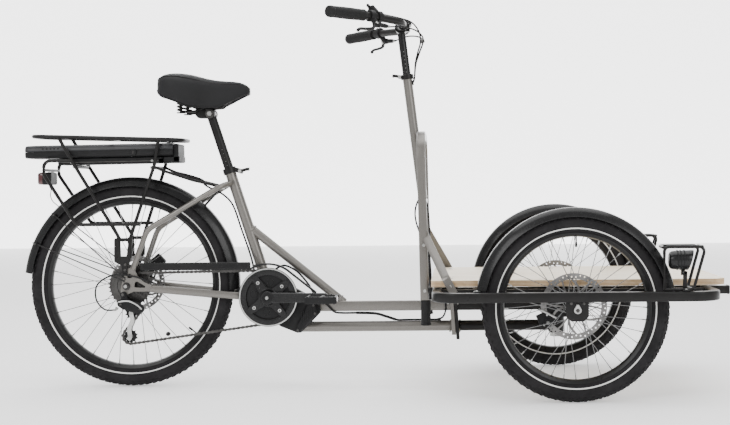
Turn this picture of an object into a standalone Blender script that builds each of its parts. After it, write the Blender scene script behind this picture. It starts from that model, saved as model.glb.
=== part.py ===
"""An electric cargo tricycle: one driven rear wheel, a flat load platform between two front wheels.

Metres, +X forward, +Y to the rider's left, +Z up, floor at Z = 0. The platform, its hoop, the
column and both front wheels turn together on a vertical pin under the platform.
"""
import math
import bmesh
import bpy
import numpy as np
from mathutils import Matrix, Vector

for old in list(bpy.data.objects):
    bpy.data.objects.remove(old, do_unlink=True)

# ---------------------------------------------------------------- main dimensions
REAR = (-0.7085, 0.299)        # rear axle, X and Z
REAR_R = 0.299                 # rear tyre radius
FRONT = (0.5645, 0.2525)       # front axles, X and Z
FRONT_R = 0.2525
TRACK = 0.350                  # front wheels stand this far from the middle
TYRE_W = 0.0235                # half width of a tyre
CRANK = (-0.300, 0.263)        # crank axis
CRANK_L = 0.165
PIN_X = 0.540                  # steering pin
SEAT_LEAN = math.radians(18.0)
COLUMN_LEAN = 0.1218           # X lost per metre of height
CHAIN_Y = -0.050               # middle plane of the chain
PITCH = {"ring": 0.0769, "cog": 0.0366, "guide": 0.0206, "tension": 0.0225}
GUIDE = (-0.700, 0.2205)
TENSION = (-0.7035, 0.1520)
CHAIN_H = 0.0043               # half height of a link
DISC_FRONT, DISC_REAR = 0.090, 0.082
RAIL_Z, RAIL = 0.2865, 0.013   # platform rails: middle height, half size
DECK_Z = (0.3056, 0.3236)
LOOP = (0.1935, 0.9365, 0.410)  # outer rail: rear X, front X, half width
SIDE_Y = 0.2755                # inner side rails
MID_Y = 0.200                  # rails that end in the front plugs

COLOURS = {
    "frame": ((0.30, 0.285, 0.26), 0.55, 0.42), "black": ((0.018, 0.017, 0.017), 0.0, 0.45),
    "rubber": ((0.02, 0.02, 0.021), 0.0, 0.85), "steel": ((0.45, 0.45, 0.45), 1.0, 0.35),
    "plastic": ((0.025, 0.025, 0.027), 0.0, 0.55), "wood": ((0.72, 0.60, 0.43), 0.0, 0.6),
    "alu": ((0.62, 0.61, 0.59), 1.0, 0.3), "vinyl": ((0.03, 0.03, 0.032), 0.0, 0.65),
    "chain": ((0.12, 0.115, 0.11), 0.9, 0.4), "lens": ((0.8, 0.82, 0.85), 0.0, 0.15),
    "red": ((0.35, 0.01, 0.012), 0.0, 0.3),
}


# ---------------------------------------------------------------- shapes
def vec(*p):
    return np.array(p, float)


def unit(v):
    return v / np.linalg.norm(v)


def fillet(points, radius, steps=4, closed=False):
    """The polyline with each inner corner replaced by an arc."""
    points = [np.array(p, float) for p in points]
    n, out = len(points), []
    for i, p in enumerate(points):
        if not closed and i in (0, n - 1):
            out.append(p)
            continue
        a, b = points[i - 1] - p, points[(i + 1) % n] - p
        la, lb = np.linalg.norm(a), np.linalg.norm(b)
        a, b = a / la, b / lb
        half = math.acos(max(-1.0, min(1.0, float(a @ b)))) / 2
        if half > math.radians(88.5):
            out.append(p)
            continue
        r = radius[i] if isinstance(radius, (list, tuple)) else radius
        back = min(r / math.tan(half), la * 0.49, lb * 0.49)
        r = back * math.tan(half)
        centre = p + unit(a + b) * r / math.sin(half)
        s, e = p + a * back - centre, p + b * back - centre
        turn = math.acos(max(-1.0, min(1.0, float(unit(s) @ unit(e)))))
        for k in range(steps + 1):
            f = k / steps
            out.append(centre + (math.sin((1 - f) * turn) * s + math.sin(f * turn) * e) / math.sin(turn))
    return out


def ring_of(sides, r, r2=None, turn=0.5):
    """A regular profile, as (across, up) pairs."""
    r2 = r if r2 is None else r2
    angles = [2 * math.pi * (k + turn) / sides for k in range(sides)]
    return [(r * math.cos(a), r2 * math.sin(a)) for a in angles]


def rounded(w, h, c):
    """A rectangle profile of half sizes w and h with its corners cut by c."""
    return [(w - c, -h), (w, -h + c), (w, h - c), (w - c, h), (-w + c, h), (-w, h - c), (-w, -h + c), (-w + c, -h)]


def sweep(points, profile, up=(0, 0, 1), closed=False, scale=None):
    """(vertices, faces) of a profile carried along a polyline with mitred corners."""
    pts = [np.array(p, float) for p in points]
    n, m, up = len(pts), len(profile), np.array(up, float)
    verts, faces = [], []
    for i, p in enumerate(pts):
        before = unit(p - pts[i - 1]) if closed or i else unit(pts[1] - p)
        after = unit(pts[(i + 1) % n] - p) if closed or i < n - 1 else before
        t = unit(before + after)
        side = unit(np.cross(t, up))
        top = np.cross(side, t)
        bend, grow = after - before, 0.0
        if np.linalg.norm(bend) > 1e-6:
            bend = unit(bend)
            grow = 1 / max(0.35, float(t @ after)) - 1
        k = scale[i] if scale else 1.0
        for a, b in profile:
            o = side * a * k + top * b * k
            verts.append(p + o + bend * float(o @ bend) * grow)
    for i in range(n if closed else n - 1):
        j = (i + 1) % n
        for k in range(m):
            q = (k + 1) % m
            faces.append((i * m + k, i * m + q, j * m + q, j * m + k))
    if not closed:
        faces.append(tuple(range(m - 1, -1, -1)))
        faces.append(tuple(range((n - 1) * m, n * m)))
    return verts, faces


def rod(a, b, r, sides=8, r2=None):
    axis = unit(np.array(b, float) - np.array(a, float))
    up = (0, 0, 1) if abs(axis[2]) < 0.9 else (0, 1, 0)
    return sweep([a, b], ring_of(sides, r), up, scale=[1, (r2 or r) / r])


def pipe(points, r, sides=8, bend=0.0, steps=3, up=(0, 0, 1), closed=False):
    points = fillet(points, bend, steps, closed) if bend else points
    return sweep(points, ring_of(sides, r), up, closed)


def box(x0, x1, y0, y1, z0, z1):
    v = [vec(x, y, z) for x in (x0, x1) for y in (y0, y1) for z in (z0, z1)]
    return v, [(0, 1, 3, 2), (4, 6, 7, 5), (0, 4, 5, 1), (2, 3, 7, 6), (0, 2, 6, 4), (1, 5, 7, 3)]


def prism(outline, y0, y1):
    """An outline of (X, Z) pairs given thickness along Y."""
    n = len(outline)
    v = [vec(x, y0, z) for x, z in outline] + [vec(x, y1, z) for x, z in outline]
    f = [tuple(range(n)), tuple(range(2 * n - 1, n - 1, -1))]
    return v, f + [(i, i + n, (i + 1) % n + n, (i + 1) % n) for i in range(n)]


def slab(outline, z0, z1):
    """An outline of (X, Y) pairs given thickness along Z."""
    n = len(outline)
    v = [vec(x, y, z0) for x, y in outline] + [vec(x, y, z1) for x, y in outline]
    f = [tuple(range(n - 1, -1, -1)), tuple(range(n, 2 * n))]
    return v, f + [(i, (i + 1) % n, (i + 1) % n + n, i + n) for i in range(n)]


def lathe(profile, sides, centre, axis="Y", turn=0.5):
    """A closed profile of (radius, along) pairs turned about an axis through centre."""
    m, v, f = len(profile), [], []
    for k in range(sides):
        a = 2 * math.pi * (k + turn) / sides
        c, s = math.cos(a), math.sin(a)
        for r, t in profile:
            p = {"Y": (r * c, t, r * s), "Z": (r * c, r * s, t), "X": (t, r * c, r * s)}[axis]
            v.append(np.array(p) + np.array(centre, float))
    for k in range(sides):
        j = (k + 1) % sides
        for i in range(m):
            q = (i + 1) % m
            f.append((k * m + i, k * m + q, j * m + q, j * m + i))
    return v, f


def spindle(steps, sides, centre, axis="Y"):
    """A solid turned from (radius, along) steps, closed on its axis by flat caps."""
    v, f, m = [], [], len(steps)
    for k in range(sides):
        a = 2 * math.pi * (k + 0.5) / sides
        c, s = math.cos(a), math.sin(a)
        for r, t in steps:
            p = {"Y": (r * c, t, r * s), "Z": (r * c, r * s, t), "X": (t, r * c, r * s)}[axis]
            v.append(np.array(p) + np.array(centre, float))
    for k in range(sides):
        j = (k + 1) % sides
        for i in range(m - 1):
            f.append((k * m + i, k * m + i + 1, j * m + i + 1, j * m + i))
    f.append(tuple(k * m for k in range(sides)))
    f.append(tuple(k * m + m - 1 for k in range(sides - 1, -1, -1)))
    return v, f


def tilted(shape, origin, angle, axis="Y"):
    """The shape turned by an angle about an axis through origin."""
    c, s, o, out = math.cos(angle), math.sin(angle), np.array(origin, float), []
    for p in shape[0]:
        x, y, z = p - o
        if axis == "Y":
            q = (x * c + z * s, y, -x * s + z * c)
        elif axis == "Z":
            q = (x * c - y * s, x * s + y * c, z)
        else:
            q = (x, y * c - z * s, y * s + z * c)
        out.append(o + np.array(q))
    return out, shape[1]


def flipped(shape):
    """The shape mirrored to the other side of the middle plane."""
    return [vec(p[0], -p[1], p[2]) for p in shape[0]], [tuple(reversed(f)) for f in shape[1]]


# ---------------------------------------------------------------- objects
def mesh_object(name, shape):
    data = bpy.data.meshes.new(name)
    data.from_pydata([tuple(p) for p in shape[0]], [], [tuple(f) for f in shape[1]])
    bm = bmesh.new()
    bm.from_mesh(data)
    bmesh.ops.recalc_face_normals(bm, faces=bm.faces)
    if bm.calc_volume(signed=True) < 0:
        bmesh.ops.reverse_faces(bm, faces=bm.faces)
    bm.to_mesh(data)
    bm.free()
    obj = bpy.data.objects.new(name, data)
    bpy.context.scene.collection.objects.link(obj)
    return obj


def settle(obj):
    """The object with its modifiers worked into its mesh."""
    bpy.context.view_layer.update()
    graph = bpy.context.evaluated_depsgraph_get()
    data = bpy.data.meshes.new_from_object(obj.evaluated_get(graph))
    obj.modifiers.clear()
    obj.data = data


def combine(obj, shapes, operation):
    for shape in shapes:
        other = mesh_object("piece", shape)
        step = obj.modifiers.new("step", "BOOLEAN")
        step.operation, step.solver, step.object = operation, "EXACT", other
        settle(obj)
        bpy.data.objects.remove(other, do_unlink=True)


def material(kind, name):
    colour, metal, rough = COLOURS[kind]
    mat = bpy.data.materials.new(name)
    mat.use_nodes = True
    shader = mat.node_tree.nodes["Principled BSDF"]
    shader.inputs["Base Color"].default_value = (*colour, 1)
    shader.inputs["Metallic"].default_value = metal
    shader.inputs["Roughness"].default_value = rough
    mat.diffuse_color = (*colour, 1)
    return mat


def node(name, kind, pieces, cuts=(), origin=None):
    obj = mesh_object(name, pieces[0])
    combine(obj, pieces[1:], "UNION")
    combine(obj, cuts, "DIFFERENCE")
    obj.data.name = name
    obj.data.materials.clear()
    obj.data.materials.append(material(kind, name))
    if origin is not None:
        obj.data.transform(Matrix.Translation(-Vector(origin)))
        obj.location = origin
    return obj


def both(build):
    """Runs a builder for the right side, then for the left."""
    for side, sign in (("right", -1), ("left", 1)):
        build(side, sign)


# ---------------------------------------------------------------- rear frame
def on_seat_tube(s, y=0.0):
    """A point s metres up the seat tube from the crank axis."""
    return vec(CRANK[0] - s * math.sin(SEAT_LEAN), y, CRANK[1] + s * math.cos(SEAT_LEAN))


DROPOUT = [(-0.7013, 0.3523), (-0.6856, 0.3465), (-0.6761, 0.3271), (-0.6605, 0.3118), (-0.6373, 0.3011),
           (-0.6336, 0.2836), (-0.6877, 0.2833), (-0.7040, 0.2760), (-0.7230, 0.2660), (-0.7260, 0.2866),
           (-0.7178, 0.3254), (-0.7090, 0.3400)]


def build_frame():
    pieces = [rod(CRANK_POINT, on_seat_tube(0.388), 0.0159, 14),
              lathe([(0.0176, -0.034), (0.0176, 0.034), (0.0225, 0.034), (0.0225, -0.034)], 20,
                    (CRANK[0], 0, CRANK[1]))]
    for s in (-1, 1):
        pieces.append(sweep([(-0.3120, s * 0.029, 0.2620), (-0.3810, s * 0.0375, 0.2655),
                             (-0.4000, s * 0.0430, 0.2670), (-0.5000, s * 0.0540, 0.2770),
                             (-0.6400, s * 0.0690, 0.2915)], rounded(0.007, 0.011, 0.003)))
        pieces.append(pipe([on_seat_tube(0.352, s * 0.006), (-0.4400, s * 0.0430, 0.5865),
                            (-0.6200, s * 0.0600, 0.4800), (-0.6500, s * 0.0665, 0.4600),
                            (-0.6905, s * 0.0705, 0.3470)], 0.008, 8, 0.03, 1))
        pieces.append(prism(DROPOUT, s * 0.0675, s * 0.0735))
    pieces += [
        box(-0.168, 0.2290, -0.015, 0.015, 0.2160, 0.2455),
        rod((-0.2185, 0, 0.170), (0.2330, 0, 0.170), 0.0155, 12),
        rod((-0.292, 0, 0.278), (-0.150, 0, 0.236), 0.011, 10),
        rod(on_seat_tube(0.216), (-0.085, 0, 0.2400), 0.0127, 12),
        prism([(-0.318, 0.262), (-0.292, 0.284), (-0.160, 0.243), (-0.160, 0.218), (-0.205, 0.184),
               (-0.205, 0.157), (-0.236, 0.157)], -0.006, 0.006),
        prism([(0.2262, 0.2500), (0.2378, 0.2500), (0.2440, 0.1455), (0.2324, 0.1455)], -0.034, 0.034),
        rod((-0.3760, -0.034, 0.2655), (-0.3760, 0.034, 0.2655), 0.006, 8),
        rod((-0.4450, -0.042, 0.5835), (-0.4450, 0.042, 0.5835), 0.006, 8),
    ]
    pieces += [spindle([(0.0050, -0.0880), (0.0050, 0.0880)], 10, (REAR[0], 0, REAR[1])),
               spindle([(0.0090, -0.0830), (0.0090, -0.0700)], 6, (REAR[0], 0, REAR[1])),
               spindle([(0.0090, 0.0700), (0.0090, 0.0830)], 6, (REAR[0], 0, REAR[1]))]
    cuts = [rod(on_seat_tube(0.100), on_seat_tube(0.400), 0.0141, 14),
            spindle([(0.0176, -0.04), (0.0176, 0.04)], 16, (CRANK[0], 0, CRANK[1]))]
    cuts.append(spindle([(0.0116, -0.02), (0.0116, 0.02)], 12, (-0.2150, 0, 0.2010)))
    for s in (-1, 1):
        cuts.append(prism([(-0.7085, 0.3225), (-0.6905, 0.3225), (-0.6990, 0.3380)], s * 0.060, s * 0.080))
        cuts.append(prism([(-0.6830, 0.3015), (-0.6770, 0.3120), (-0.6540, 0.3005), (-0.6560, 0.2960)],
                          s * 0.060, s * 0.080))
    node("main_frame", "frame", pieces, cuts)


def build_spine():
    pieces = [prism([(0.2382, 0.2500), (0.2480, 0.2500), (0.2551, 0.1325), (0.2453, 0.1325)], -0.034, 0.034),
              box(0.244, 0.528, -0.015, 0.015, 0.2160, 0.2455),
              rod((0.248, 0, 0.170), (0.528, 0, 0.170), 0.0155, 12),
              spindle([(0.023, 0.150), (0.023, 0.2612)], 16, (PIN_X, 0, 0), "Z")]
    node("front_spine", "black", pieces, [spindle([(0.0136, 0.14), (0.0136, 0.27)], 16, (PIN_X, 0, 0), "Z")])


CRANK_POINT = vec(CRANK[0], 0, CRANK[1])
CRANK_CENTRE = (CRANK[0], 0, CRANK[1])


def build_motor():
    lobe = [(-0.2600, 0.1720), (-0.2180, 0.1548), (-0.2060, 0.1570), (-0.1540, 0.2120), (-0.1560, 0.2440),
            (-0.1900, 0.2660), (-0.2500, 0.2780), (-0.3000, 0.2100)]
    pieces = [spindle([(0.050, -0.0440), (0.058, -0.0410), (0.058, -0.0346)], 18, CRANK_CENTRE),
              prism(lobe, -0.0440, -0.0165),
              prism([(-0.2200, 0.1600), (-0.2060, 0.1600), (-0.1600, 0.2110), (-0.1620, 0.2400), (-0.1850, 0.2550),
                     (-0.1980, 0.2200), (-0.2180, 0.1850)], -0.0560, -0.0400),
              spindle([(0.0170, -0.018), (0.0170, 0.0400)], 12, CRANK_CENTRE),
              spindle([(0.040, 0.0166), (0.040, 0.0400), (0.034, 0.0460)], 18, (-0.2150, 0, 0.2200)),
              spindle([(0.0110, -0.0200), (0.0110, 0.0200)], 12, (-0.2150, 0, 0.2010)),
              prism([(-0.3085, 0.2420), (-0.3085, 0.2850), (-0.2850, 0.2860), (-0.2000, 0.2560), (-0.2100, 0.1900),
                     (-0.2700, 0.2200)], 0.0346, 0.0430)]
    node("motor_housing", "plastic", pieces,
         [spindle([(0.0098, -0.05), (0.0098, 0.05)], 12, CRANK_CENTRE),
          box(-0.3700, -0.3060, -0.0424, -0.0300, 0.2480, 0.2800)])


def build_cranks():
    right = [spindle([(0.0088, -0.0720), (0.0088, 0.0700)], 10, CRANK_CENTRE),
             spindle([(0.0190, -0.0900), (0.0190, -0.0665)], 16, CRANK_CENTRE),
             prism([(CRANK[0], CRANK[1] - 0.0165), (CRANK[0] + CRANK_L, CRANK[1] - 0.0115),
                    (CRANK[0] + CRANK_L, CRANK[1] + 0.0115), (CRANK[0], CRANK[1] + 0.0165)], -0.0890, -0.0760),
             spindle([(0.0140, -0.0890), (0.0140, -0.0760)], 12, (CRANK[0] + CRANK_L, 0, CRANK[1]))]
    hole = [spindle([(0.0052, -0.12), (0.0052, -0.07)], 10, (CRANK[0] + CRANK_L, 0, CRANK[1]))]
    node("crank_right", "plastic", right, hole, (CRANK[0], 0, CRANK[1]))
    left = [spindle([(0.0180, 0.0560), (0.0180, 0.0820)], 16, CRANK_CENTRE),
            prism([(CRANK[0] - CRANK_L, CRANK[1] - 0.0115), (CRANK[0], CRANK[1] - 0.0165),
                   (CRANK[0], CRANK[1] + 0.0165), (CRANK[0] - CRANK_L, CRANK[1] + 0.0115)], 0.0760, 0.0890),
            spindle([(0.0140, 0.0760), (0.0140, 0.0890)], 12, (CRANK[0] - CRANK_L, 0, CRANK[1]))]
    node("crank_left", "plastic", left,
         [spindle([(0.0093, 0.05), (0.0093, 0.0705)], 10, CRANK_CENTRE),
          spindle([(0.0052, 0.07), (0.0052, 0.12)], 10, (CRANK[0] - CRANK_L, 0, CRANK[1]))],
         (CRANK[0], 0, CRANK[1]))
    ring = [(0.0096, -0.0660), (0.0096, -0.0485), (0.0716, -0.0485), (0.0716, -0.0515), (0.0640, -0.0515),
            (0.0640, -0.0615), (0.0857, -0.0615), (0.0857, -0.0645), (0.0560, -0.0660)]
    lobes = []
    for k in range(4):
        a = math.radians(83 + 90 * k)
        lobes.append(spindle([(0.0165, -0.070), (0.0165, -0.045)], 12,
                             (CRANK[0] + 0.0410 * math.cos(a), 0, CRANK[1] + 0.0410 * math.sin(a))))
    node("chainring", "plastic", [lathe(ring, 40, CRANK_CENTRE)], lobes, (CRANK[0], 0, CRANK[1]))

    def pedal(side, s):
        x = CRANK[0] - s * CRANK_L
        axle = [(0.0048, 0.0770), (0.0048, 0.0955), (0.0085, 0.0955), (0.0085, 0.1850)]
        pieces = [spindle([(r, s * t) for r, t in axle], 12, (x, 0, CRANK[1])),
                  box(x - 0.045, x + 0.045, s * 0.1000, s * 0.1080, CRANK[1] - 0.0115, CRANK[1] + 0.0115),
                  box(x - 0.045, x + 0.045, s * 0.1780, s * 0.1860, CRANK[1] - 0.0115, CRANK[1] + 0.0115)]
        for dx in (-0.039, 0.032):
            pieces.append(box(x + dx, x + dx + 0.007, s * 0.104, s * 0.182, CRANK[1] - 0.0105, CRANK[1] + 0.0105))
        pieces.append(box(x - 0.0345, x + 0.0345, s * 0.140, s * 0.146, CRANK[1] - 0.0080, CRANK[1] + 0.0080))
        node("pedal_" + side, "plastic", pieces, (), (x, s * 0.0955, CRANK[1]))

    both(pedal)


# ---------------------------------------------------------------- chain and gears
def belt(circles, step=math.radians(11)):
    """The closed path of a belt round circles of (centre, radius, turn), turn +1 for anticlockwise."""
    n, touch = len(circles), []
    for i in range(n):
        (c1, r1, t1), (c2, r2, t2) = circles[i], circles[(i + 1) % n]
        c1, c2 = np.array(c1), np.array(c2)
        d = c2 - c1
        dist = np.linalg.norm(d)
        base = math.atan2(d[1], d[0])
        off = math.asin((t1 * r1 - t2 * r2) / dist)
        heading = base + off
        right = np.array([math.sin(heading), -math.cos(heading)])
        touch.append((c1 + right * t1 * r1, c2 + right * t2 * r2))
    path = []
    for i in range(n):
        c, r, t = circles[i]
        c = np.array(c)
        a0 = math.atan2(*(touch[i - 1][1] - c)[::-1])
        a1 = math.atan2(*(touch[i][0] - c)[::-1])
        sweep_angle = (a1 - a0) * t % (2 * math.pi)
        k = max(2, int(math.ceil(sweep_angle / step)))
        for j in range(k + 1):
            a = a0 + t * sweep_angle * j / k
            path.append((c[0] + r * math.cos(a), c[1] + r * math.sin(a)))
    return path


def build_drive():
    path = belt([(CRANK, PITCH["ring"], 1), (REAR, PITCH["cog"], 1), (GUIDE, PITCH["guide"], -1),
                 (TENSION, PITCH["tension"], 1)])
    points = [vec(x, CHAIN_Y, z) for x, z in path]
    node("chain", "chain", [sweep(points, [(-CHAIN_H, -0.0034), (CHAIN_H, -0.0034), (CHAIN_H, 0.0034), (-CHAIN_H, 0.0034)],
                           (0, 1, 0), True)])
    steps, cogs = [], [(-0.0304, 0.0648), (-0.0353, 0.0567), (-0.0402, 0.0487), (-0.0451, 0.0426),
                       (-0.0500, 0.0319), (-0.0549, 0.0285), (-0.0598, 0.0225)]
    for y, r in cogs:
        steps += [(r, y + 0.0009), (r, y - 0.0009), (r - 0.0112, y - 0.0013)]
    steps = [(0.0078, -0.0290), (0.0120, -0.0290)] + steps + [(0.0078, -0.0625)]
    node("cassette", "steel", [lathe(steps, 14, (REAR[0], 0, REAR[1]))], (), (REAR[0], 0, REAR[1]))
    for name, centre, r in (("jockey_upper", GUIDE, PITCH["guide"]), ("jockey_lower", TENSION, PITCH["tension"])):
        r -= CHAIN_H + 0.0003
        node(name, "plastic", [lathe([(0.0036, -0.0540), (0.0036, -0.0460), (0.0075, -0.0460), (0.0075, -0.0490),
                                      (r, -0.0490), (r, -0.0510), (0.0075, -0.0510), (0.0075, -0.0540)], 14,
                                     (centre[0], 0, centre[1]))], (), (centre[0], CHAIN_Y, centre[1]))
    cage = [(-0.6880, 0.2330), (-0.6650, 0.2330), (-0.6650, 0.2180), (-0.6930, 0.1720), (-0.6930, 0.1440),
            (-0.7000, 0.1400), (-0.7260, 0.1440), (-0.7280, 0.1560), (-0.6960, 0.2060)]
    node("derailleur_cage", "alu",
         [prism(cage, -0.0588, -0.0566), prism(cage, -0.0434, -0.0412),
          rod((GUIDE[0], -0.0580, GUIDE[1]), (GUIDE[0], -0.0420, GUIDE[1]), 0.0030, 8),
          rod((TENSION[0], -0.0580, TENSION[1]), (TENSION[0], -0.0420, TENSION[1]), 0.0030, 8),
          prism([(-0.7080, 0.2150), (-0.6920, 0.2150), (-0.6900, 0.2320), (-0.7080, 0.2260)], -0.0588, -0.0566),
          prism([(-0.7080, 0.2150), (-0.6920, 0.2150), (-0.6900, 0.2320), (-0.7080, 0.2260)], -0.0434, -0.0412),
          spindle([(0.0090, -0.0640), (0.0090, -0.0575)], 12, (-0.6760, 0, 0.2255))])
    node("derailleur_body", "plastic",
         [prism([(-0.7230, 0.2830), (-0.7090, 0.2840), (-0.7000, 0.2640), (-0.6720, 0.2450), (-0.6620, 0.2300),
                 (-0.6740, 0.2170), (-0.7050, 0.2210), (-0.7350, 0.2290), (-0.7450, 0.2430), (-0.7290, 0.2620)],
                -0.0890, -0.0740),
          spindle([(0.0100, -0.0780), (0.0100, -0.0644)], 12, (-0.6760, 0, 0.2255))])


# ---------------------------------------------------------------- wheels
def spokes(centre, hub_r, rim_r, inner_y, outer_y, count):
    """Laced spokes: each of four sets leaves its own plane of the hub, so none of them meet."""
    pieces, each = [], count // 4
    for k, (y, lean) in enumerate(((inner_y - 0.0022, 1), (outer_y + 0.0022, 1), (inner_y + 0.0022, -1),
                                   (outer_y - 0.0022, -1))):
        shape_v, shape_f = [], []
        for i in range(each):
            end = 2 * math.pi * (i * 4 + k) / count
            start = end + lean * math.radians(58)
            mid = (inner_y + outer_y) / 2 + (y - (inner_y + outer_y) / 2) * 0.10
            a = vec(centre[0] + hub_r * math.cos(start), y, centre[1] + hub_r * math.sin(start))
            b = vec(centre[0] + rim_r * math.cos(end), mid, centre[1] + rim_r * math.sin(end))
            v, f = rod(a, b, 0.0013, 3)
            base = len(shape_v)
            shape_v += v
            shape_f += [tuple(base + q for q in face) for face in f]
        pieces.append((shape_v, shape_f))
    return pieces


def build_wheel(name, centre, y, radius, rim, flange_r, flanges, shell, hub_ends, bore, disc_side):
    """A tyre, a rim with its hub and spokes, and a brake disc."""
    c = (centre[0], 0, centre[1])
    tyre = [(rim + 0.0076, -0.0130), (rim + 0.0240, -TYRE_W), (radius - 0.0120, -0.0190), (radius, -0.0040),
            (radius, 0.0040), (radius - 0.0120, 0.0190), (rim + 0.0240, TYRE_W),
            (rim + 0.0076, 0.0130)]
    node(name + "_tyre", "rubber", [lathe([(r, t + y) for r, t in tyre], 32, c, turn=0)], (),
         (centre[0], y, centre[1]))
    lo, hi = flanges
    rim_shape = [(rim - 0.0030, -0.0060), (rim + 0.0072, -0.0145), (rim + 0.0072, 0.0145), (rim - 0.0030, 0.0060)]
    hub = [(bore, hub_ends[0]), (bore, hub_ends[1]), (0.0110, hub_ends[1]), (shell, hi + 0.0060),
           (flange_r, hi + 0.0035), (flange_r, hi - 0.0035), (shell, hi - 0.0060), (shell, lo + 0.0060),
           (flange_r, lo + 0.0035), (flange_r, lo - 0.0035), (shell, lo - 0.0060), (0.0110, hub_ends[0])]
    node(name + "_wheel", "steel",
         [lathe([(r, t + y) for r, t in rim_shape], 32, c, turn=0), lathe([(r, t) for r, t in hub], 12, c)]
         + spokes(centre, flange_r - 0.0030, rim, lo, hi, 20), (), (centre[0], y, centre[1]))
    return c


def brake_disc(name, centre, y, radius, inner, origin_y):
    """A drilled rotor on five arms."""
    holes, r_in = [], radius - 0.0150
    for k in range(6):
        a = 2 * math.pi * (k + 0.5) / 6
        mid = (r_in + 0.0240) / 2
        holes.append(tilted(prism([(centre[0] + 0.0260, centre[1] - 0.0080), (centre[0] + r_in, centre[1] - 0.0260),
                                   (centre[0] + r_in, centre[1] + 0.0260), (centre[0] + 0.0260, centre[1] + 0.0080)],
                                  y - 0.003, y + 0.003), (centre[0], 0, centre[1]), a))
        assert mid > 0
    node(name, "steel", [lathe([(inner, y - 0.0010), (inner, y + 0.0010), (radius, y + 0.0010), (radius, y - 0.0010)],
                               30, (centre[0], 0, centre[1]))], holes, (centre[0], origin_y, centre[1]))


def build_wheels():
    build_wheel("rear", REAR, 0.0, REAR_R, 0.239, 0.0270, (-0.0210, 0.0330), 0.0170, (-0.0282, 0.0640), 0.0070, 1)
    brake_disc("rear_disc", REAR, 0.0530, DISC_REAR, 0.0192, 0.0)

    def front(side, s):
        flanges = sorted((s * (TRACK - 0.028), s * (TRACK + 0.028)))
        ends = sorted((s * 0.2940, s * 0.4030))
        build_wheel("front_" + side, FRONT, s * TRACK, FRONT_R, 0.194, 0.0250, flanges, 0.0140, ends, 0.0070, -s)
        brake_disc("front_disc_" + side, FRONT, s * 0.3045, DISC_FRONT, 0.0150, s * TRACK)

    both(front)


# ---------------------------------------------------------------- mudguards
def guard_path(centre, radius, start, end, count, y=0.0):
    return [vec(centre[0] + radius * math.cos(math.radians(start + (end - start) * k / count)), y,
                centre[1] + radius * math.sin(math.radians(start + (end - start) * k / count)))
            for k in range(count + 1)]


def guard_profile(w, drop):
    """A thin arch, w half wide, as (outward, across) pairs."""
    ys = [-1.0, -0.75, 0.0, 0.75, 1.0]
    outer = [(-drop * abs(t) ** 3, t * w) for t in ys]
    inner = [(-drop * abs(t) ** 3 - 0.0020 + (0.0020 if abs(t) == 1 else 0), t * (w - 0.0022)) for t in reversed(ys)]
    return outer + inner


def build_mudguards():
    pieces = [sweep(guard_path(REAR, 0.3170, 173, -3, 17), guard_profile(0.0300, 0.0170), (0, 1, 0)),
              box(-0.3990, -0.3825, -0.0120, 0.0120, 0.2760, 0.2840),
              box(-0.3870, -0.3825, -0.0120, 0.0120, 0.2580, 0.2840)]
    bridge, axle = vec(-0.4450, 0, 0.5835), vec(REAR[0], 0, REAR[1])
    aim = unit(bridge - axle)
    pieces.append(rod(axle + aim * 0.3155, bridge - aim * 0.0066, 0.0035, 8))
    for s in (-1, 1):
        for a, end in ((156, (-0.7150, 0.3140)), (139, (-0.7130, 0.3195))):
            r = math.radians(a)
            top = vec(REAR[0] + 0.3015 * math.cos(r), s * 0.0292, REAR[1] + 0.3015 * math.sin(r))
            if a == 156:
                pieces.append(rod(top, (end[0], s * 0.0764, end[1]), 0.0020, 6))
    node("rear_mudguard", "plastic", pieces)

    def front(side, s):
        shell = sweep(guard_path(FRONT, 0.2690, 172, 8, 15, s * TRACK), guard_profile(0.0300, 0.0150), (0, 1, 0))
        tabs = []
        for x in (FRONT[0] - 0.2640, FRONT[0] + 0.2640):
            tabs.append(box(x - 0.0090, x + 0.0090, s * (TRACK + 0.0200), s * 0.4040, 0.2999, 0.3030))
            tabs.append(box(x - 0.0090, x + 0.0090, s * (TRACK - 0.0200), s * 0.2800, 0.2989, 0.3030))
        node("front_mudguard_" + side, "plastic", [shell] + tabs)

    both(front)


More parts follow.
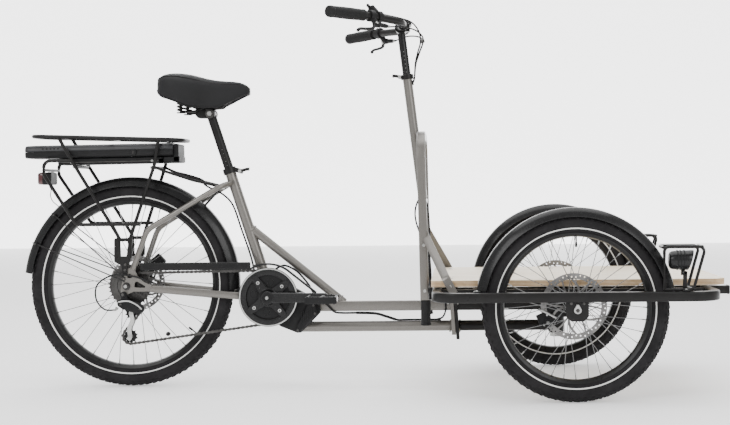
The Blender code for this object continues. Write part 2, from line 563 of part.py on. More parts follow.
# ---------------------------------------------------------------- rack, battery and saddle
def build_rack():
    r = 0.0050
    loop = fillet([(-0.9880, -0.0650, 0.7362), (-0.5480, -0.0650, 0.7222), (-0.5480, 0.0650, 0.7222),
                   (-0.9880, 0.0650, 0.7362)], 0.040, 2, True)
    pieces = [sweep(loop, ring_of(7, 0.0055), closed=True)]
    for x in (-0.9050, -0.7600, -0.6150):
        z = 0.7357 - (x + 0.9880) * 0.0318
        pieces.append(rod((x, -0.0657, z), (x, 0.0657, z), 0.0045, 6))
    pieces.append(rod((-0.9873, 0, 0.7364), (-0.5487, 0, 0.7225), 0.0040, 7))
    for x, z, y in ((-0.8576, 0.6466, 0.0690), (-0.6330, 0.6420, 0.0690)):
        pieces.append(rod((x, -y, z), (x, y, z), r * 1.04, 7))
    pieces.append(rod((-0.9471, -0.0712, 0.6373), (-0.9471, 0.0712, 0.6373), 0.0040, 7))
    for s in (-1, 1):
        pieces += [
            pipe([(-0.9050, s * 0.0653, 0.7330), (-0.8620, s * 0.0690, 0.6580), (-0.7290, s * 0.0763, 0.4418),
                  (-0.7274, s * 0.0763, 0.3770)], r, 6, 0.03, 1),
            pipe([(-0.6150, s * 0.0653, 0.7240), (-0.6260, s * 0.0690, 0.6500), (-0.6945, s * 0.0763, 0.4415),
                  (-0.6970, s * 0.0763, 0.3815)], r, 6, 0.03, 1),
            pipe([(-0.8640, s * 0.0693, 0.6641), (-0.9467, s * 0.0693, 0.6641), (-0.9467, s * 0.0693, 0.6240),
                  (-0.8520, s * 0.0752, 0.4785), (-0.6660, s * 0.0752, 0.4781)], r, 6, 0.022, 1),
            pipe([(-0.6270, s * 0.0684, 0.6447), (-0.6000, s * 0.0640, 0.6320), (-0.5200, s * 0.0450, 0.6045),
                  (-0.4530, s * 0.0280, 0.5880)], 0.0040, 6, 0.03, 1),
            prism([(-0.7420, 0.4387), (-0.6885, 0.4393), (-0.6960, 0.3740), (-0.7035, 0.3600), (-0.7050, 0.3320),
                   (-0.7165, 0.3300), (-0.7220, 0.3600), (-0.7420, 0.3700)], s * 0.0741, s * 0.0788),
        ]
    node("rear_rack", "black", pieces)


def build_battery():
    pivot, lean = (-0.7900, 0, 0.6900), math.radians(0.8)
    profile = [(-0.0480, -0.0190), (0.0480, -0.0190), (0.0540, -0.0120), (0.0540, 0.0080), (0.0440, 0.0190),
               (-0.0440, 0.0190), (-0.0540, 0.0080), (-0.0540, -0.0120)]
    case = sweep([(-1.0080, 0, 0.6930), (-1.0020, 0, 0.6930), (-0.5860, 0, 0.6930), (-0.5770, 0, 0.6930)], profile,
                 scale=[0.93, 1, 1, 0.95])
    key = spindle([(0.0090, -0.0600), (0.0090, -0.0530)], 12, (-0.6900, 0, 0.6850))
    node("battery_pack", "plastic", [tilted(case, pivot, lean), tilted(key, pivot, lean)])
    dock = [box(-0.9150, -0.6060, -0.0400, 0.0400, 0.6535, 0.6732), box(-0.6200, -0.5600, -0.0400, 0.0400, 0.6535, 0.6732),
            box(-0.5763, -0.5620, -0.0400, 0.0400, 0.6550, 0.7080)]
    node("battery_dock", "plastic", [tilted(d, pivot, lean) for d in dock])
    lamp = sweep([(-0.9790, 0, 0.6130), (-0.9730, 0, 0.6130), (-0.9390, 0, 0.6130)], rounded(0.0300, 0.0185, 0.006),
                 scale=[0.85, 1, 1])
    hanger = box(-0.9560, -0.9400, -0.0080, 0.0080, 0.6250, 0.6327)
    node("tail_light", "red", [lamp, hanger])


def build_saddle():
    head = on_seat_tube(0.560)
    node("seatpost", "black",
         [rod(on_seat_tube(0.240), on_seat_tube(0.560), 0.0136, 14),
          spindle([(0.0140, -0.0270), (0.0140, 0.0270)], 12, (head[0], 0, 0.8000)),
          box(-0.5170, -0.4700, -0.0200, 0.0200, 0.7870, 0.8120)], (), tuple(on_seat_tube(0.388)))
    clamp = [rod(on_seat_tube(0.3795), on_seat_tube(0.3965), 0.0198, 16),
             tilted(box(-0.4041, -0.3811, -0.0110, 0.0110, 0.6243, 0.6373), (-0.3881, 0, 0.6308), -SEAT_LEAN)]
    node("seat_clamp", "black", clamp, [rod(on_seat_tube(0.370), on_seat_tube(0.3885), 0.0163, 14),
                                        rod(on_seat_tube(0.380), on_seat_tube(0.410), 0.0141, 14)])
    pivot = vec(-0.3877, -0.0160, 0.6308)
    lever = [rod((-0.3877, -0.0113, 0.6308), (-0.3877, -0.0200, 0.6308), 0.0055, 10),
             pipe([(-0.3877, -0.0165, 0.6308), (-0.3711, -0.0180, 0.6348), (-0.3631, -0.0060, 0.6368),
                   (-0.3671, 0.0140, 0.6368)], 0.0035, 8, 0.008)]
    node("seat_clamp_lever", "alu", lever, (), tuple(pivot))
    outline = [(-0.6040, 0.0500), (-0.5900, 0.0700), (-0.5500, 0.0720), (-0.5000, 0.0480), (-0.4500, 0.0220),
               (-0.3800, 0.0100)]
    base = slab([(x, -y) for x, y in outline] + [(x, y) for x, y in reversed(outline)], 0.8560, 0.8640)
    frame = [base]
    for s in (-1, 1):
        frame.append(pipe([(-0.5520, s * 0.0470, 0.8040), (-0.5150, s * 0.0350, 0.8060), (-0.4950, s * 0.0240, 0.8180),
                           (-0.4400, s * 0.0180, 0.8180), (-0.3950, s * 0.0080, 0.8600)], 0.0037, 8, 0.012))
        frame.append(spindle([(0.0128, 0.8000), (0.0128, 0.8570)], 12, (-0.5520, s * 0.0470, 0), "Z"))
    node("saddle_frame", "plastic", frame)
    rings = [(-0.6215, 0.0300, 0.8920, 0.8740), (-0.6180, 0.0620, 0.9030, 0.8640), (-0.6060, 0.0830, 0.9120, 0.8505),
             (-0.5800, 0.0960, 0.9180, 0.8370), (-0.5450, 0.0970, 0.9170, 0.8240), (-0.5150, 0.0800, 0.9120, 0.8165),
             (-0.4850, 0.0560, 0.9045, 0.8142), (-0.4500, 0.0400, 0.8975, 0.8160), (-0.4100, 0.0310, 0.8945, 0.8350),
             (-0.3800, 0.0260, 0.8900, 0.8490), (-0.3650, 0.0200, 0.8800, 0.8545), (-0.3580, 0.0100, 0.8690, 0.8580)]
    section = [(0.93, 0.0), (0.985, 0.12), (1.0, 0.40), (0.97, 0.62), (0.86, 0.82), (0.66, 0.94), (0.35, 0.99)]
    section += [(-f, g) for f, g in reversed(section)]
    verts, faces, m = [], [], len(section)
    for x, w, top, low in rings:
        verts += [vec(x, w * f, low + (top - low) * g) for f, g in section]
    for i in range(len(rings) - 1):
        for k in range(m):
            faces.append((i * m + k, i * m + (k + 1) % m, (i + 1) * m + (k + 1) % m, (i + 1) * m + k))
    faces += [tuple(range(m - 1, -1, -1)), tuple(range(len(verts) - m, len(verts)))]
    inside = [(-0.6060, 0.0660), (-0.5800, 0.0845), (-0.5450, 0.0855), (-0.5150, 0.0685), (-0.4850, 0.0445),
              (-0.4500, 0.0285), (-0.4100, 0.0200), (-0.3800, 0.0150), (-0.3720, 0.0110)]
    hollow = slab([(x, -y) for x, y in inside] + [(x, y) for x, y in reversed(inside)], 0.7900, 0.8645)
    node("saddle_pad", "vinyl", [(verts, faces)], [hollow])


# ---------------------------------------------------------------- platform
def build_chassis():
    rail = rounded(RAIL, RAIL, 0.0045)
    x0, x1, y1 = LOOP
    z = RAIL_Z
    loop = fillet([(x0, -y1, z), (x1, -y1, z), (x1, y1, z), (x0, y1, z)], 0.060, 3, True)
    pieces = [sweep(loop, rail, closed=True)]
    low, high = z - 0.0115, z + 0.0115
    for s in (-1, 1):
        pieces.append(box(x0, 1.0020, s * (MID_Y - 0.012), s * (MID_Y + 0.012), low, high))
        pieces.append(box(1.0000, 1.0075, s * (MID_Y - 0.0135), s * (MID_Y + 0.0135), low - 0.001, high + 0.001))
        pieces.append(box(x0, x1, s * (SIDE_Y - 0.011), s * (SIDE_Y + 0.011), low, high))
        pieces.append(box(0.5345, 0.5945, s * 0.2860, s * 0.2920, 0.2225, high - 0.002))
        pieces.append(prism([(0.5340, 0.2780), (0.5340, 0.2350), (0.5480, 0.2225), (0.5810, 0.2225), (0.5940, 0.2350),
                             (0.5940, 0.2780)], s * 0.4045, s * 0.4105))
        pieces.append(box(0.1690, 0.1850, s * 0.1460, s * 0.1680, 0.2770, 0.2960))
        pieces.append(spindle([(0.0050, s * 0.2800), (0.0050, s * 0.4140)], 10, (FRONT[0], 0, FRONT[1])))
        pieces.append(prism([(FRONT[0] - 0.0090, FRONT[1] - 0.0040), (FRONT[0], FRONT[1] - 0.0110),
                             (FRONT[0] + 0.0090, FRONT[1] - 0.0040), (FRONT[0] + 0.0080, FRONT[1] + 0.0050),
                             (FRONT[0], FRONT[1] + 0.0150), (FRONT[0] - 0.0080, FRONT[1] + 0.0050)],
                            s * 0.4080, s * 0.4180))
    pieces.append(box(0.5120, 0.5680, -0.2700, 0.2700, low + 0.001, high - 0.001))
    pieces.append(box(0.7300, 0.7500, -0.2000, 0.2000, low, high))
    for x in (0.2300, 0.9000):
        for y in (-MID_Y, MID_Y):
            pieces.append(box(x - 0.02, x + 0.02, y - 0.010, y + 0.010, high - 0.001, 0.3053))
    cuts = [spindle([(0.0130, 0.26), (0.0130, 0.31)], 16, (PIN_X, 0, 0), "Z")]
    node("platform_frame", "black", pieces, cuts, (PIN_X, 0, RAIL_Z))
    node("steering_pin", "steel",
         [spindle([(0.0190, 0.1370), (0.0190, 0.1494), (0.0126, 0.1494), (0.0126, 0.2616), (0.0230, 0.2616),
                   (0.0230, 0.2754), (0.0126, 0.2754), (0.0126, 0.2985)], 16, (PIN_X, 0, 0), "Z")])
    edge = 0.2845
    node("deck", "wood", [slab([(0.1775, -edge), (0.9560, -edge), (0.9835, -edge + 0.0275), (0.9835, edge - 0.0275),
                                (0.9560, edge), (0.1775, edge)], *DECK_Z)])


def hoop_x(z):
    return 0.1565 - (z - 0.260) * 0.0170


def column_at(z, back=0.0):
    return vec(0.1062 + (0.9020 - z) * COLUMN_LEAN - back, 0, z)


def build_hoop():
    leg, top = 0.157, 0.7280
    path = fillet([(hoop_x(0.260), -leg, 0.260), (hoop_x(top), -leg, top), (hoop_x(top), leg, top),
                   (hoop_x(0.260), leg, 0.260)], 0.070, 4)
    flat = rounded(0.0120, 0.0120, 0.003)
    pieces = [sweep(path, flat, (1, 0, 0)),
              box(0.1425, 0.1610, -leg, leg, 0.5250, 0.5450)]
    for s in (-1, 1):
        path = [(0.1500, s * 0.1500, 0.4610), (0.1590, s * 0.1600, 0.4430), (0.2180, s * 0.2895, 0.3300),
                (0.2395, s * 0.2895, 0.2880)]
        pieces.append(sweep(path, rounded(0.0110, 0.0022, 0.0005), (0, 1, 0)))
        pieces.append(spindle([(0.0125, 0.1885), (0.0140, 0.1915), (0.0140, 0.2590), (0.0090, 0.2590), (0.0090, 0.2650)], 16,
                              (0.1595, s * leg, 0), "Z"))
    node("hoop", "frame", pieces, [rod(column_at(0.60), column_at(0.85), 0.0141, 14)])


def build_column():
    slope = unit(column_at(0.9) - column_at(0.5))
    foot, top = column_at(0.5475), column_at(0.9035)
    node("steering_column", "frame", [rod(foot, top, 0.0138, 14)], [rod(column_at(0.66), column_at(0.95), 0.0125, 12)])
    clamp = [rod(column_at(0.8975), column_at(0.9115), 0.0185, 16),
             box(0.0790, 0.0940, -0.0095, 0.0095, 0.9000, 0.9090)]
    node("column_clamp", "black", clamp, [rod(column_at(0.88), column_at(0.9040), 0.0142, 14),
                                          rod(column_at(0.88), column_at(0.93), 0.0125, 12)])
    lever = [rod((0.0840, -0.0098, 0.9045), (0.0840, -0.0185, 0.9045), 0.0050, 10),
             pipe([(0.0840, -0.0150, 0.9045), (0.0700, -0.0170, 0.9060), (0.0640, -0.0060, 0.9075),
                   (0.0650, 0.0160, 0.9080)], 0.0034, 8, 0.008)]
    node("column_clamp_lever", "alu", lever, (), (0.0840, -0.0150, 0.9045))
    bar = vec(0.0905, 0, 1.0500)
    node("stem", "black",
         [rod(column_at(0.7300), column_at(1.0400), 0.0120, 12),
          spindle([(0.0190, -0.0200), (0.0190, 0.0200)], 16, (bar[0], 0, bar[2])),
          box(0.0980, 0.1160, -0.0120, 0.0120, 1.0380, 1.0620)],
         [spindle([(0.0130, -0.03), (0.0130, 0.03)], 14, (bar[0], 0, bar[2]))], tuple(column_at(0.9035)))


GRIP_IN, GRIP_OUT = vec(0.0060, 0.2050, 1.0585), vec(-0.0900, 0.3140, 1.0560)


def mirror(p, s):
    return vec(p[0], s * p[1], p[2])


def build_bars():
    half = [(0.0905, 0.0, 1.0500), (0.0905, 0.0260, 1.0500), (0.0985, 0.0650, 1.0510), (0.0930, 0.1080, 1.0540)]
    path = [mirror(GRIP_OUT, -1), mirror(GRIP_IN, -1)] + [mirror(p, -1) for p in reversed(half)] + half[1:]
    path += [GRIP_IN, GRIP_OUT]
    path = fillet(path, 0.045, 2)
    scale = [1.0 if abs(p[1]) < 0.03 else 0.88 for p in path]
    bar = [sweep(path, ring_of(10, 0.0126), scale=scale)]
    along = unit(GRIP_OUT - GRIP_IN)
    out = unit(vec(0.427, 0.359, -0.831) - along * float(vec(0.427, 0.359, -0.831) @ along))
    axis = unit(np.cross(along, out))
    seat = GRIP_IN - along * 0.0120
    hinge = seat + out * 0.0300
    cuts = []

    def hand(side, s):
        a, b = GRIP_IN + along * 0.0160, GRIP_OUT + along * 0.0050
        tip = GRIP_OUT + along * 0.0006
        node("grip_" + side, "rubber", [rod(mirror(a, s), mirror(b, s), 0.0160, 12)],
             [rod(mirror(GRIP_IN, s), mirror(tip, s), 0.0117, 12)])
        bar.extend([
            rod(mirror(seat - along * 0.0090, s), mirror(seat + along * 0.0090, s), 0.0165, 10),
            rod(mirror(seat + out * 0.0100, s), mirror(hinge + out * 0.0060 - along * 0.0080, s), 0.0085, 8),
            rod(mirror(hinge - along * 0.0160, s), mirror(hinge - along * 0.0460 + out * 0.0030, s), 0.0065, 8),
            rod(mirror(hinge - along * 0.0180, s), mirror(hinge - along * 0.0060, s), 0.0085, 8)])
        cuts.append(rod(mirror(hinge - axis * 0.0045 - along * 0.001, s),
                        mirror(hinge + axis * 0.0045 - along * 0.001, s), 0.0150, 12))
        end = seat + along * 0.0700 + out * 0.0520
        blade = [rod(mirror(hinge - axis * 0.0040, s), mirror(hinge + axis * 0.0040, s), 0.0090, 12),
                 pipe([mirror(p, s) for p in (hinge, hinge + along * 0.0180 + out * 0.0160, end,
                                              end + along * 0.0120 + out * 0.0060)], 0.0045, 8, 0.012)]
        node("brake_lever_" + side, "black", blade, (), tuple(mirror(hinge, s)))

    both(hand)
    pod = GRIP_IN - along * 0.0420
    bar.extend([rod(mirror(pod - along * 0.0080, -1), mirror(pod + along * 0.0080, -1), 0.0160, 12),
                rod(mirror(pod, -1), mirror(pod + vec(-0.016, -0.006, 0.020), -1), 0.0110, 10),
                rod((0.0972, -0.0520, 1.0510), (0.0982, -0.0600, 1.0512), 0.0155, 10)])
    node("handlebar", "black", bar, cuts)
    hub = pod + vec(-0.0165, -0.0062, 0.0206)
    top = pod + vec(-0.0225, -0.0085, 0.0282)
    node("shifter_lever", "black",
         [rod(mirror(hub, -1), mirror(top, -1), 0.0105, 10),
          rod(mirror(top - vec(-0.003, -0.001, 0.004), -1), mirror(top + vec(-0.008, 0.018, 0.004), -1), 0.0040, 8)],
         (), tuple(mirror(hub, -1)))
    node("display", "plastic",
         [rod((0.0948, 0.0400, 1.0508), (0.0970, 0.0560, 1.0511), 0.0165, 10),
          tilted(box(0.0720, 0.1180, 0.0300, 0.0700, 1.0660, 1.0800), (0.095, 0, 1.07), math.radians(-18))],
         [rod((0.0907, 0.0250, 1.0502), (0.0985, 0.0700, 1.0514), 0.0130, 12)])


# ---------------------------------------------------------------- brakes and lamps
def build_brakes():
    def front(side, s):
        cx, cz = 0.4870, 0.2170
        pieces = [tilted(box(cx - 0.0200, cx + 0.0200, s * 0.2960, s * 0.3130, cz - 0.0160, cz + 0.0200), (cx, 0, cz), 0.4),
                  spindle([(0.0110, s * 0.3100), (0.0110, s * 0.3170)], 12, (cx - 0.002, 0, cz - 0.002)),
                  prism([(cx - 0.010, cz + 0.004), (cx + 0.015, cz - 0.006), (0.5520, 0.2300), (0.5520, 0.2460)],
                        s * 0.2925, s * 0.2980)]
        slot = spindle([(DISC_FRONT + 0.0012, s * 0.3027), (DISC_FRONT + 0.0012, s * 0.3063)], 40,
                       (FRONT[0], 0, FRONT[1]))
        node("front_caliper_" + side, "black", pieces, [slot])

    both(front)
    cx, cz = -0.6480, 0.3620
    pieces = [tilted(box(cx - 0.0200, cx + 0.0200, 0.0440, 0.0620, cz - 0.0170, cz + 0.0170), (cx, 0, cz), 0.75),
              spindle([(0.0110, 0.0400), (0.0110, 0.0450)], 12, (cx + 0.002, 0, cz + 0.002)),
              prism([(cx - 0.0140, cz - 0.0080), (cx + 0.0080, cz + 0.0140), (-0.6690, 0.3140), (-0.6840, 0.3260)],
                    0.0600, 0.0670)]
    slot = spindle([(DISC_REAR + 0.0012, 0.0512), (DISC_REAR + 0.0012, 0.0548)], 30, (REAR[0], 0, REAR[1]))
    node("rear_caliper", "black", pieces, [slot])


def build_lamps():
    def lamp(side, s):
        out, inn, r = 0.4100, 0.3450, 0.0042
        foot = 0.3042
        top = fillet([(0.7862, s * out, 0.4160), (0.8990, s * out, 0.4160), (0.8990, s * inn, 0.4160),
                      (0.7862, s * inn, 0.4160)], 0.014, 1, True)
        pieces = [sweep(top, ring_of(6, r), closed=True),
                  pipe([(0.7862, s * out, 0.4140), (0.7880, s * out, foot), (0.8700, s * out, foot),
                        (0.8950, s * out, 0.4140)], r, 6, 0.012, 1),
                  pipe([(0.8950, s * inn, 0.4140), (0.8720, s * inn, foot + 0.001), (0.8700, s * out, foot + 0.001)], r, 6,
                       0.012, 1),
                  box(0.8400, 0.8580, s * 0.3920, s * 0.4220, 0.2999, 0.3050),
                  prism([(0.8430, 0.3010), (0.8540, 0.3010), (0.8560, 0.3520), (0.8450, 0.3520)], s * 0.3925, s * 0.3965),
                  rod((0.8505, s * 0.3965, 0.3460), (0.8505, s * 0.3600, 0.3460), 0.0040)]
        node("lamp_cage_" + side, "black", pieces)
        body = [spindle([(0.0150, 0.8130), (0.0240, 0.8200), (0.0270, 0.8600), (0.0270, 0.8800), (0.0240, 0.8830)], 20,
                        (0, s * 0.3780, 0.3800), "X"),
                box(0.8435, 0.8575, s * 0.3720, s * 0.3840, 0.3400, 0.3580)]
        node("headlamp_" + side, "plastic", body,
             [rod((0.8505, s * 0.41, 0.3460), (0.8505, s * 0.34, 0.3460), 0.0043)], (0.8505, s * 0.3780, 0.3460))

    both(lamp)


def build_guard():
    bar = [(-0.6705, 0.3435), (-0.6705, 0.3660), (-0.3500, 0.3660), (-0.3500, 0.3435)]
    arc = []
    for k in range(13):
        a = math.radians(128 - 92 * k / 12)
        arc.append(vec(CRANK[0] + 0.1010 * math.cos(a), -0.0685, CRANK[1] + 0.1010 * math.sin(a)))
    pieces = [prism(bar, -0.0700, -0.0665), sweep(arc, rounded(0.0022, 0.0060, 0.0008), (0, 1, 0)),
              box(-0.3440, -0.3320, -0.0690, -0.0166, 0.3490, 0.3570)]
    node("chain_guard", "plastic", pieces)


def build_cables():
    node("derailleur_cable", "plastic",
         [pipe([(-0.7360, -0.0820, 0.2280), (-0.7700, -0.0840, 0.2260), (-0.8000, -0.0860, 0.2600),
                (-0.7960, -0.0880, 0.3150), (-0.7450, -0.0860, 0.3350), (-0.6900, -0.0830, 0.3300),
                (-0.6300, -0.0780, 0.3100)], 0.0022, 5, 0.03, 3)])
    node("motor_cable", "plastic",
         [pipe([(-0.2300, -0.0310, 0.2840), (-0.2150, -0.0310, 0.3150), (-0.1750, -0.0290, 0.2700),
                (-0.1300, -0.0230, 0.2330), (-0.1150, -0.0180, 0.2120), (-0.0900, -0.0100, 0.2110),
                 (0.0083, -0.0100, 0.2080), (0.0720, -0.0080, 0.1885), (0.2000, -0.0060, 0.1885)], 0.0030, 5, 0.02, 2)])


build_frame()
build_spine()
build_motor()
build_cranks()
build_drive()
build_wheels()
build_mudguards()
build_rack()
build_battery()
build_saddle()
build_chassis()
build_hoop()
build_column()
build_bars()
build_brakes()
build_lamps()
build_guard()
build_cables()
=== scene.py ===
"""The looks of an electric cargo tricycle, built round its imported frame.

Everything is in metres: X forwards, Y to the rider's left, Z up. Shapes are made
once, as lists of points and faces, then gathered into pieces that ride on the
bodies of the frame.
"""

import math

import bmesh
import bpy
import numpy as np
from mathutils import Matrix, Vector
from mathutils.geometry import tessellate_polygon


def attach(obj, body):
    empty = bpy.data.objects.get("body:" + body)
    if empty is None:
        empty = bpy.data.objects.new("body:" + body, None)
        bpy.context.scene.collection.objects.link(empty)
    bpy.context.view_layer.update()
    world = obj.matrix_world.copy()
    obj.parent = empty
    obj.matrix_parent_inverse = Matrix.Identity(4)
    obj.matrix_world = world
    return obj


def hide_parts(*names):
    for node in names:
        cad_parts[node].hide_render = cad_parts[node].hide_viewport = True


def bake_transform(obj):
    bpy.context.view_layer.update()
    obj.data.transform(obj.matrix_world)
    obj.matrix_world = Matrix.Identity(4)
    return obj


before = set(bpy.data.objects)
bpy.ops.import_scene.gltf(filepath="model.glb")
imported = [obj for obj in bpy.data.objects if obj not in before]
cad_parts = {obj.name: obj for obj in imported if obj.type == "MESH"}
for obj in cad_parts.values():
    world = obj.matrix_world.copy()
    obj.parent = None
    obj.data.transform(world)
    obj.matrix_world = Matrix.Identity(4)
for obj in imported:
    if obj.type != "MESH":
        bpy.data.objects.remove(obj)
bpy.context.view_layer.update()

# ---------------------------------------------------------------- main dimensions
REAR, REAR_R = (-0.7085, 0.299), 0.299     # rear axle, X and Z, and tyre radius
FRONT, FRONT_R = (0.5645, 0.2525), 0.2525
TRACK = 0.350                              # the front wheels' distance from the middle
TYRE_W = 0.0235                            # half width of a tyre
CRANK, CRANK_L = (-0.300, 0.263), 0.165
PIN_X = 0.540                              # steering pin
SEAT_LEAN = math.radians(18.0)
COLUMN_LEAN = 0.1218                       # X lost per metre of height
CHAIN_Y, LINK = -0.050, 0.0127
PITCH = {"ring": 0.0769, "cog": 0.0366, "guide": 0.0206, "tension": 0.0225}
GUIDE, TENSION = (-0.700, 0.2205), (-0.7035, 0.1520)
RAIL_Z, RAIL = 0.2865, 0.013
DECK_Z = (0.3056, 0.3236)
LOOP = (0.1935, 0.9365, 0.410)
SIDE_Y, MID_Y = 0.2755, 0.200
BATTERY_TILT = ((-0.7900, 0, 0.6900), math.radians(0.8))


# ---------------------------------------------------------------- shapes
def vec(*p):
    return np.array(p, float)


def unit(v):
    return v / np.linalg.norm(v)


def polar(centre, r, degrees, y=0.0):
    a = math.radians(degrees)
    return vec(centre[0] + r * math.cos(a), y, centre[1] + r * math.sin(a))


def fillet(points, radius, steps=6, closed=False):
    """The polyline with each inner corner replaced by an arc."""
    points = [np.array(p, float) for p in points]
    n, out = len(points), []
    for i, p in enumerate(points):
        if not closed and i in (0, n - 1):
            out.append(p)
            continue
        a, b = points[i - 1] - p, points[(i + 1) % n] - p
        la, lb = np.linalg.norm(a), np.linalg.norm(b)
        a, b = a / la, b / lb
        half = math.acos(max(-1.0, min(1.0, float(a @ b)))) / 2
        if half > math.radians(88.5):
            out.append(p)
            continue
        back = min(radius / math.tan(half), la * 0.49, lb * 0.49)
        r = back * math.tan(half)
        centre = p + unit(a + b) * r / math.sin(half)
        s, e = p + a * back - centre, p + b * back - centre
        turn = math.acos(max(-1.0, min(1.0, float(unit(s) @ unit(e)))))
        for k in range(steps + 1):
            f = k / steps
            if turn < 1e-6:
                out.append(centre + s)
            else:
                out.append(centre + (s * math.sin((1 - f) * turn) + e * math.sin(f * turn)) / math.sin(turn))
    return out


def smooth(points, per=6):
    """A smooth curve through the points."""
    pts = [np.array(p, float) for p in points]
    pts = [2 * pts[0] - pts[1]] + pts + [2 * pts[-1] - pts[-2]]
    out = []
    for i in range(1, len(pts) - 2):
        a, b, c, d = pts[i - 1:i + 3]
        for k in range(per):
            t = k / per
            out.append(0.5 * (2 * b + (c - a) * t + (2 * a - 5 * b + 4 * c - d) * t * t
                              + (3 * b - a - 3 * c + d) * t ** 3))
    return out + [pts[-2]]


def loft(rings, closed=False, caps=True):
    """(points, faces) through rings of equal length."""
    n, m = len(rings), len(rings[0])
    faces = []
    for i in range(n if closed else n - 1):
        j = (i + 1) % n
        for k in range(m):
            q = (k + 1) % m
            faces.append((i * m + k, j * m + k, j * m + q, i * m + q))
    if caps and not closed:
        faces += [tuple(range(m)), tuple(range(n * m - 1, (n - 1) * m - 1, -1))]
    return [tuple(p) for ring in rings for p in ring], faces


def circle(r, sides, squash=1.0):
    return [(r * math.cos(2 * math.pi * k / sides), squash * r * math.sin(2 * math.pi * k / sides))
            for k in range(sides)]


def rounded(w, h, r, steps=3):
    """A rectangle profile of half sizes w and h with round corners."""
    out = []
    for cx, cy, a0 in ((w - r, h - r, 0), (r - w, h - r, 90), (r - w, r - h, 180), (w - r, r - h, 270)):
        for k in range(steps + 1):
            a = math.radians(a0 + 90 * k / steps)
            out.append((cx + r * math.cos(a), cy + r * math.sin(a)))
    return out


def sweep(points, profile, up=(0, 0, 1), closed=False, scale=None):
    """A profile carried along a polyline with mitred corners."""
    pts = [np.array(p, float) for p in points]
    n, up, rings = len(pts), np.array(up, float), []
    for i, p in enumerate(pts):
        before = unit(p - pts[i - 1]) if closed or i else unit(pts[1] - p)
        after = unit(pts[(i + 1) % n] - p) if closed or i < n - 1 else before
        t = unit(before + after)
        side = np.cross(t, up)
        side = unit(side) if np.linalg.norm(side) > 1e-6 else unit(np.cross(t, vec(1, 0, 0)))
        top = np.cross(side, t)
        flat = before - after
        stretch, fold = 1.0, None
        if np.linalg.norm(flat) > 1e-6:
            fold, stretch = unit(flat), 1 / max(0.5, float(before @ t))
        k = scale[i] if scale else 1.0
        ring = []
        for u, v in profile:
            d = (side * u + top * v) * k
            if fold is not None:
                d = d + fold * float(d @ fold) * (stretch - 1)
            ring.append(p + d)
        rings.append(ring)
    return loft(rings, closed)


def pipe(points, r, sides=14, bend=0.0, steps=6, up=(0.013, 0.021, 1), closed=False, ends=None):
    """A round tube. ends scales the radius at the first and last point."""
    points = fillet(points, bend, steps, closed) if bend else points
    scale = None
    if ends:
        scale = [ends[0] + (ends[1] - ends[0]) * i / (len(points) - 1) for i in range(len(points))]
    return sweep(points, circle(r, sides), up, closed, scale)


def rod(a, b, r, sides=18, chamfer=0.0):
    """A cylinder from a to b, with its ends' edges cut by chamfer."""
    a, b = np.array(a, float), np.array(b, float)
    t = unit(b - a)
    up = (0, 0, 1) if abs(t[2]) < 0.9 else (1, 0, 0)
    if not chamfer:
        return sweep([a, b], circle(r, sides), up)
    k = (r - chamfer) / r
    return sweep([a, a + t * chamfer, b - t * chamfer, b], circle(r, sides), up, scale=[k, 1, 1, k])


def turned(profile, sides, centre=(0, 0, 0), axis="Y", closed=False, arc=None):
    """A profile of (radius, along the axis) pairs turned about an axis. arc is (start, end) in degrees."""
    lo, hi = arc or (0, 360)
    rings = []
    for k in range(sides + (1 if arc else 0)):
        a = math.radians(lo + (hi - lo) * k / sides)
        c, s = math.cos(a), math.sin(a)
        ring = []
        for r, t in profile:
            if axis == "Y":
                ring.append((centre[0] + r * c, centre[1] + t, centre[2] + r * s))
            elif axis == "Z":
                ring.append((centre[0] + r * c, centre[1] + r * s, centre[2] + t))
            else:
                ring.append((centre[0] + t, centre[1] + r * c, centre[2] + r * s))
        rings.append(ring)
    points, faces = loft(rings, closed=not arc, caps=bool(arc) and closed)
    if not closed:
        m = len(profile)
        faces = [f for f in faces if not (f[0] % m == m - 1 and f[2] % m == 0)]
        if not arc:
            for k in (0, m - 1):
                faces.append(tuple(i * m + k for i in range(len(rings))))
    return points, faces


def inset(outline, d):
    """The outline moved inwards by d."""
    pts = [np.array(p, float) for p in outline]
    n = len(pts)
    area = sum(pts[i - 1][0] * pts[i][1] - pts[i][0] * pts[i - 1][1] for i in range(n))
    turn, out = math.copysign(1, area), []
    for i, p in enumerate(pts):
        a, b = unit(p - pts[i - 1]), unit(pts[(i + 1) % n] - p)
        na, nb = vec(-a[1], a[0]) * turn, vec(-b[1], b[0]) * turn
        m = na + nb
        m = unit(m) if np.linalg.norm(m) > 1e-6 else na
        out.append(p + m * d / max(0.5, float(m @ na)))
    return out


def place(p, t, axis):
    return {"Y": (p[0], t, p[1]), "Z": (p[0], p[1], t), "X": (t, p[0], p[1])}[axis]


def plate(outline, y0, y1, chamfer=0.0008, axis="Y", corner=0.0):
    """A flat plate with chamfered edges and, if corner is set, round corners."""
    if corner:
        outline = [(p[0], p[1]) for p in fillet([vec(x, z) for x, z in outline], corner, 3, True)]
    lo, hi = min(y0, y1), max(y0, y1)
    small = inset(outline, chamfer)
    return loft([[place(p, t, axis) for p in ring] for ring, t in
                 ((small, lo), (outline, lo + chamfer), (outline, hi - chamfer), (small, hi))])


